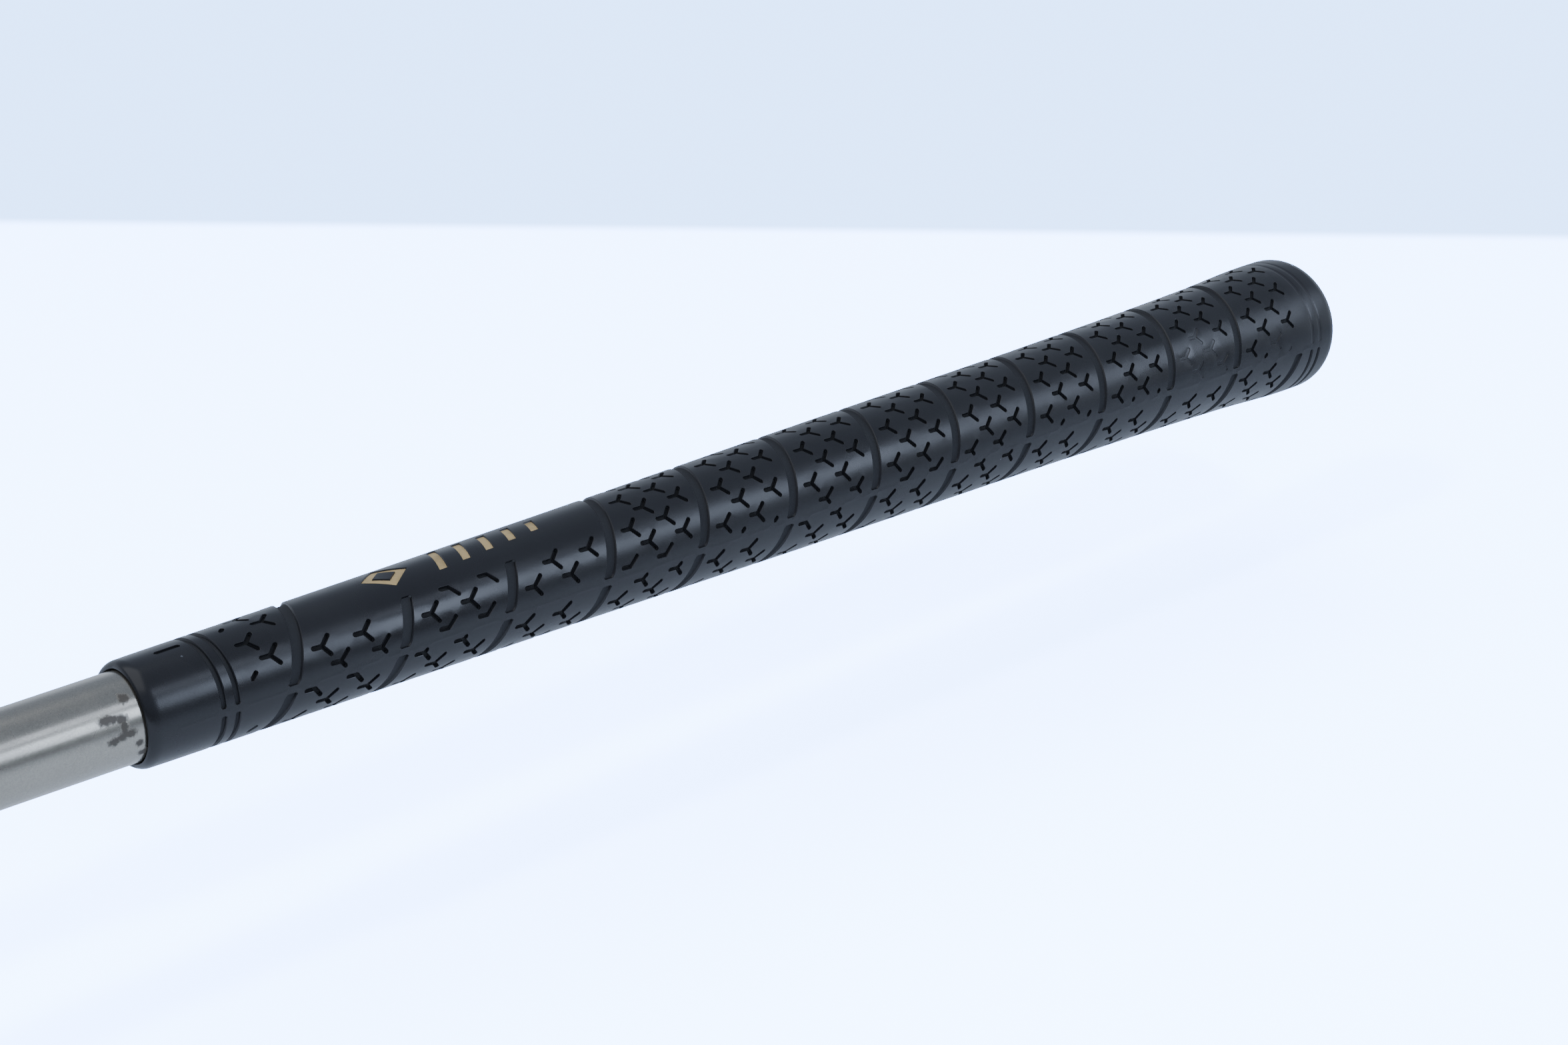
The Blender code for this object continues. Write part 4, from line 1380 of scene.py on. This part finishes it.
def make_floor_material(settings):
    """Plain pale floor, shown to the camera brighter than it lights the stick. As the stick sees it, the
    floor has painted shade towards one side and a painted glow.
    """
    material, tree, place = start_material("pale_floor")
    across = vector_maths(tree, "DOT_PRODUCT", place, FLOOR_ACROSS)["Value"]
    middle = FLOOR_START.dot(FLOOR_ACROSS)
    pale = tuple(settings.floor)
    # painted shade: the floor darkens to 0.45 of its colour along FLOOR_ACROSS, for the light it throws at
    # the stick
    floor_with_painted_shade = blend_colors(tree, ramp(tree, across, middle + 0.06, middle + 0.6), pale, shade(pale, 0.45))
    shader = tree.nodes["Principled BSDF"]
    # painted light: the floor glows with its own colour at floor_glow strength, though it is no lamp
    for label, value in (("Base Color", floor_with_painted_shade), ("Emission Color", floor_with_painted_shade), ("Roughness", 0.6),
                         ("Emission Strength", settings.floor_glow)):
        feed(tree, shader.inputs[label], value)
    cloud = noise(tree, place, 2.0)
    color = tuple(settings.floor_shown)
    tone = blend_colors(tree, cloud, shade(color, 0.96), shade(color, 1.04))
    shown = put(tree, "ShaderNodeBsdfDiffuse", color=tone).outputs[0]
    wall = put(tree, "ShaderNodeEmission", color=tuple(settings.wall_shown)).outputs[0]
    reach = vector_maths(tree, "DOT_PRODUCT", place, FLOOR_AHEAD)["Value"]
    edge = FLOOR_START.dot(FLOOR_AHEAD) + FLOOR_FAR
    soft = put(tree, "ShaderNodeMixShader", ramp(tree, reach, edge - 0.012, edge), shown, wall).outputs[0]
    seen = put(tree, "ShaderNodeLightPath").outputs["Is Camera Ray"]
    choose = put(tree, "ShaderNodeMixShader", seen, shader.outputs[0], soft).outputs[0]
    feed(tree, tree.nodes["Material Output"].inputs["Surface"], choose)
    return material


def make_world(settings):
    """Pale walls with a dim ceiling and a dim room behind the camera, lit evenly to the camera's eye."""
    world = bpy.data.worlds.new("pale_room")
    world.use_nodes = True
    bpy.context.scene.world = world
    tree = world.node_tree
    back = tree.nodes["Background"]
    place = put(tree, "ShaderNodeTexCoord").outputs["Generated"]
    height = put(tree, "ShaderNodeSeparateXYZ", place).outputs["Z"]
    behind = (-math.sin(-CAMERA_TURN), -math.cos(CAMERA_TURN), 0.0)
    facing = vector_maths(tree, "DOT_PRODUCT", place, behind)["Value"]
    wall = tuple(settings.wall)
    sides = blend_colors(tree, ramp(tree, facing, -0.35, 0.35), wall, shade(wall, settings.room_shade))
    color = blend_colors(tree, ramp(tree, height, 0.15, 0.50), sides, tuple(settings.ceiling))
    seen = put(tree, "ShaderNodeLightPath").outputs["Is Camera Ray"]
    color = blend_colors(tree, seen, color, tuple(settings.wall_shown))
    feed(tree, back.inputs["Color"], color)
    back.inputs["Strength"].default_value = 1.0
    return world


def make_stage(settings):
    shape = bmesh.new()
    down = Vector((0.0, 0.0, -settings.floor_drop))
    corners = ((FLOOR_NEAR, -1), (FLOOR_NEAR, 1), (FLOOR_FAR, 1), (FLOOR_FAR, -1))
    shape.faces.new([shape.verts.new(FLOOR_START + down + FLOOR_AHEAD * ahead
                                     + FLOOR_ACROSS * side * FLOOR_SIDE) for ahead, side in corners])
    for face in shape.faces:
        face.normal_update()
        if face.normal.z < 0:
            face.normal_flip()
    floor = add_object("floor", plain_mesh(shape, "floor"))
    floor.data.materials.append(make_floor_material(settings))
    make_world(settings)
    target = (0.19, 0.0, AXIS_Z)
    add_area_light("window", target, -53.0, 24.5, 1.7, (0.78, 0.54), 6.8, (0.68, 0.79, 1.0))
    add_area_light("window_far", target, -29.0, 25.0, 1.7, (0.55, 0.42), 1.1, (0.68, 0.79, 1.0))
    add_area_light("window_high", (0.05, 0.0, AXIS_Z), -50.0, 44.0, 1.7, (0.40, 0.30), 1.1,
                   (0.72, 0.81, 1.0))
    for name, azimuth, elevation in (("lamp_left", -124.0, 43.0), ("lamp_back", -168.0, 40.0)):
        lamp = add_area_light(name, target, azimuth, elevation, 1.6, (0.14, 0.14), 4.6, (0.95, 0.97, 1.0))
        lamp.visible_glossy = False
    add_area_light("soft_box", target, 150.0, 70.0, 1.8, (2.2, 2.2), 12.0, (0.97, 0.98, 1.0))
    camera = bpy.data.cameras.new("camera")
    camera.sensor_width = 36.0
    camera.lens = settings.lens
    camera.clip_start = 0.01
    camera.dof.use_dof = False
    item = add_object("camera", camera)
    item.location = CAMERA_PLACE
    item.rotation_euler = (math.pi / 2 - CAMERA_DIP, 0.0, CAMERA_TURN)
    bpy.context.scene.camera = item


# ---------------------------------------------------------------- operators
class STICK_OT_grip(bpy.types.Operator):
    """Build the moulded rubber grip with its grooves, treads and alignment marks"""
    bl_idname = "stick.grip"
    bl_label = "Grip"

    def execute(self, context):
        material_for("grip_rubber")
        make_grip(context.scene.stick_grip)
        return {"FINISHED"}


class STICK_OT_shaft(bpy.types.Operator):
    """Build the painted shaft, the ferrule and its trim ring"""
    bl_idname = "stick.shaft"
    bl_label = "Shaft and ferrule"

    def execute(self, context):
        make_shaft()
        make_ferrule()
        make_trim_ring()
        return {"FINISHED"}


class STICK_OT_adapter(bpy.types.Operator):
    """Build the head adapter, its grub screws, the spindle and the bumper ring"""
    bl_idname = "stick.adapter"
    bl_label = "Adapter and spindle"

    def execute(self, context):
        make_adapter()
        make_lock_screws()
        make_spindle(context.scene.stick_head)
        make_bumper()
        return {"FINISHED"}


class STICK_OT_weights(bpy.types.Operator):
    """Build the weight rings with their knurled grooves, and the O-rings between them"""
    bl_idname = "stick.weights"
    bl_label = "Weight rings"

    def execute(self, context):
        make_weights(context.scene.stick_head)
        return {"FINISHED"}


class STICK_OT_knob(bpy.types.Operator):
    """Build the washers, the fluted end knob and its nose pad"""
    bl_idname = "stick.knob"
    bl_label = "Knob and washers"

    def execute(self, context):
        make_washers()
        make_knob(context.scene.stick_head)
        return {"FINISHED"}


class STICK_OT_hidden(bpy.types.Operator):
    """Give the hidden CAD solids their materials"""
    bl_idname = "stick.hidden"
    bl_label = "Hidden parts"

    def execute(self, context):
        dress_hidden_nodes()
        return {"FINISHED"}


class STICK_OT_stage(bpy.types.Operator):
    """Build the floor, the lights and the camera"""
    bl_idname = "stick.stage"
    bl_label = "Stage"

    def execute(self, context):
        make_stage(context.scene.stick_stage)
        return {"FINISHED"}


OPERATORS = (STICK_OT_grip, STICK_OT_shaft, STICK_OT_adapter, STICK_OT_weights, STICK_OT_knob,
             STICK_OT_hidden, STICK_OT_stage)
SETTINGS = (("stick_grip", GripSettings), ("stick_shaft", ShaftSettings), ("stick_head", HeadSettings),
            ("stick_stage", StageSettings))


class STICK_PT_panel(bpy.types.Panel):
    """Lists the stick's pieces in the sidebar"""
    bl_label = "Swing Trainer Stick"
    bl_idname = "STICK_PT_panel"
    bl_space_type = "VIEW_3D"
    bl_region_type = "UI"
    bl_category = "Swing Stick"

    def draw(self, context):
        for operator in OPERATORS:
            self.layout.operator(operator.bl_idname)
        for name, group in SETTINGS:
            box = self.layout.box()
            box.label(text=name.replace("stick_", "").title())
            for label in group.__annotations__:
                box.prop(getattr(context.scene, name), label)


def register():
    for name, group in SETTINGS:
        bpy.utils.register_class(group)
        setattr(bpy.types.Scene, name, PointerProperty(type=group))
    for item in OPERATORS + (STICK_PT_panel,):
        bpy.utils.register_class(item)


def unregister():
    for item in reversed(OPERATORS + (STICK_PT_panel,)):
        bpy.utils.unregister_class(item)
    for name, group in reversed(SETTINGS):
        delattr(bpy.types.Scene, name)
        bpy.utils.unregister_class(group)


def main():
    register()
    bpy.ops.stick.stage()
    bpy.ops.stick.grip()
    bpy.ops.stick.shaft()
    bpy.ops.stick.adapter()
    bpy.ops.stick.weights()
    bpy.ops.stick.knob()
    bpy.ops.stick.hidden()


if __name__ == "__main__":
    main()
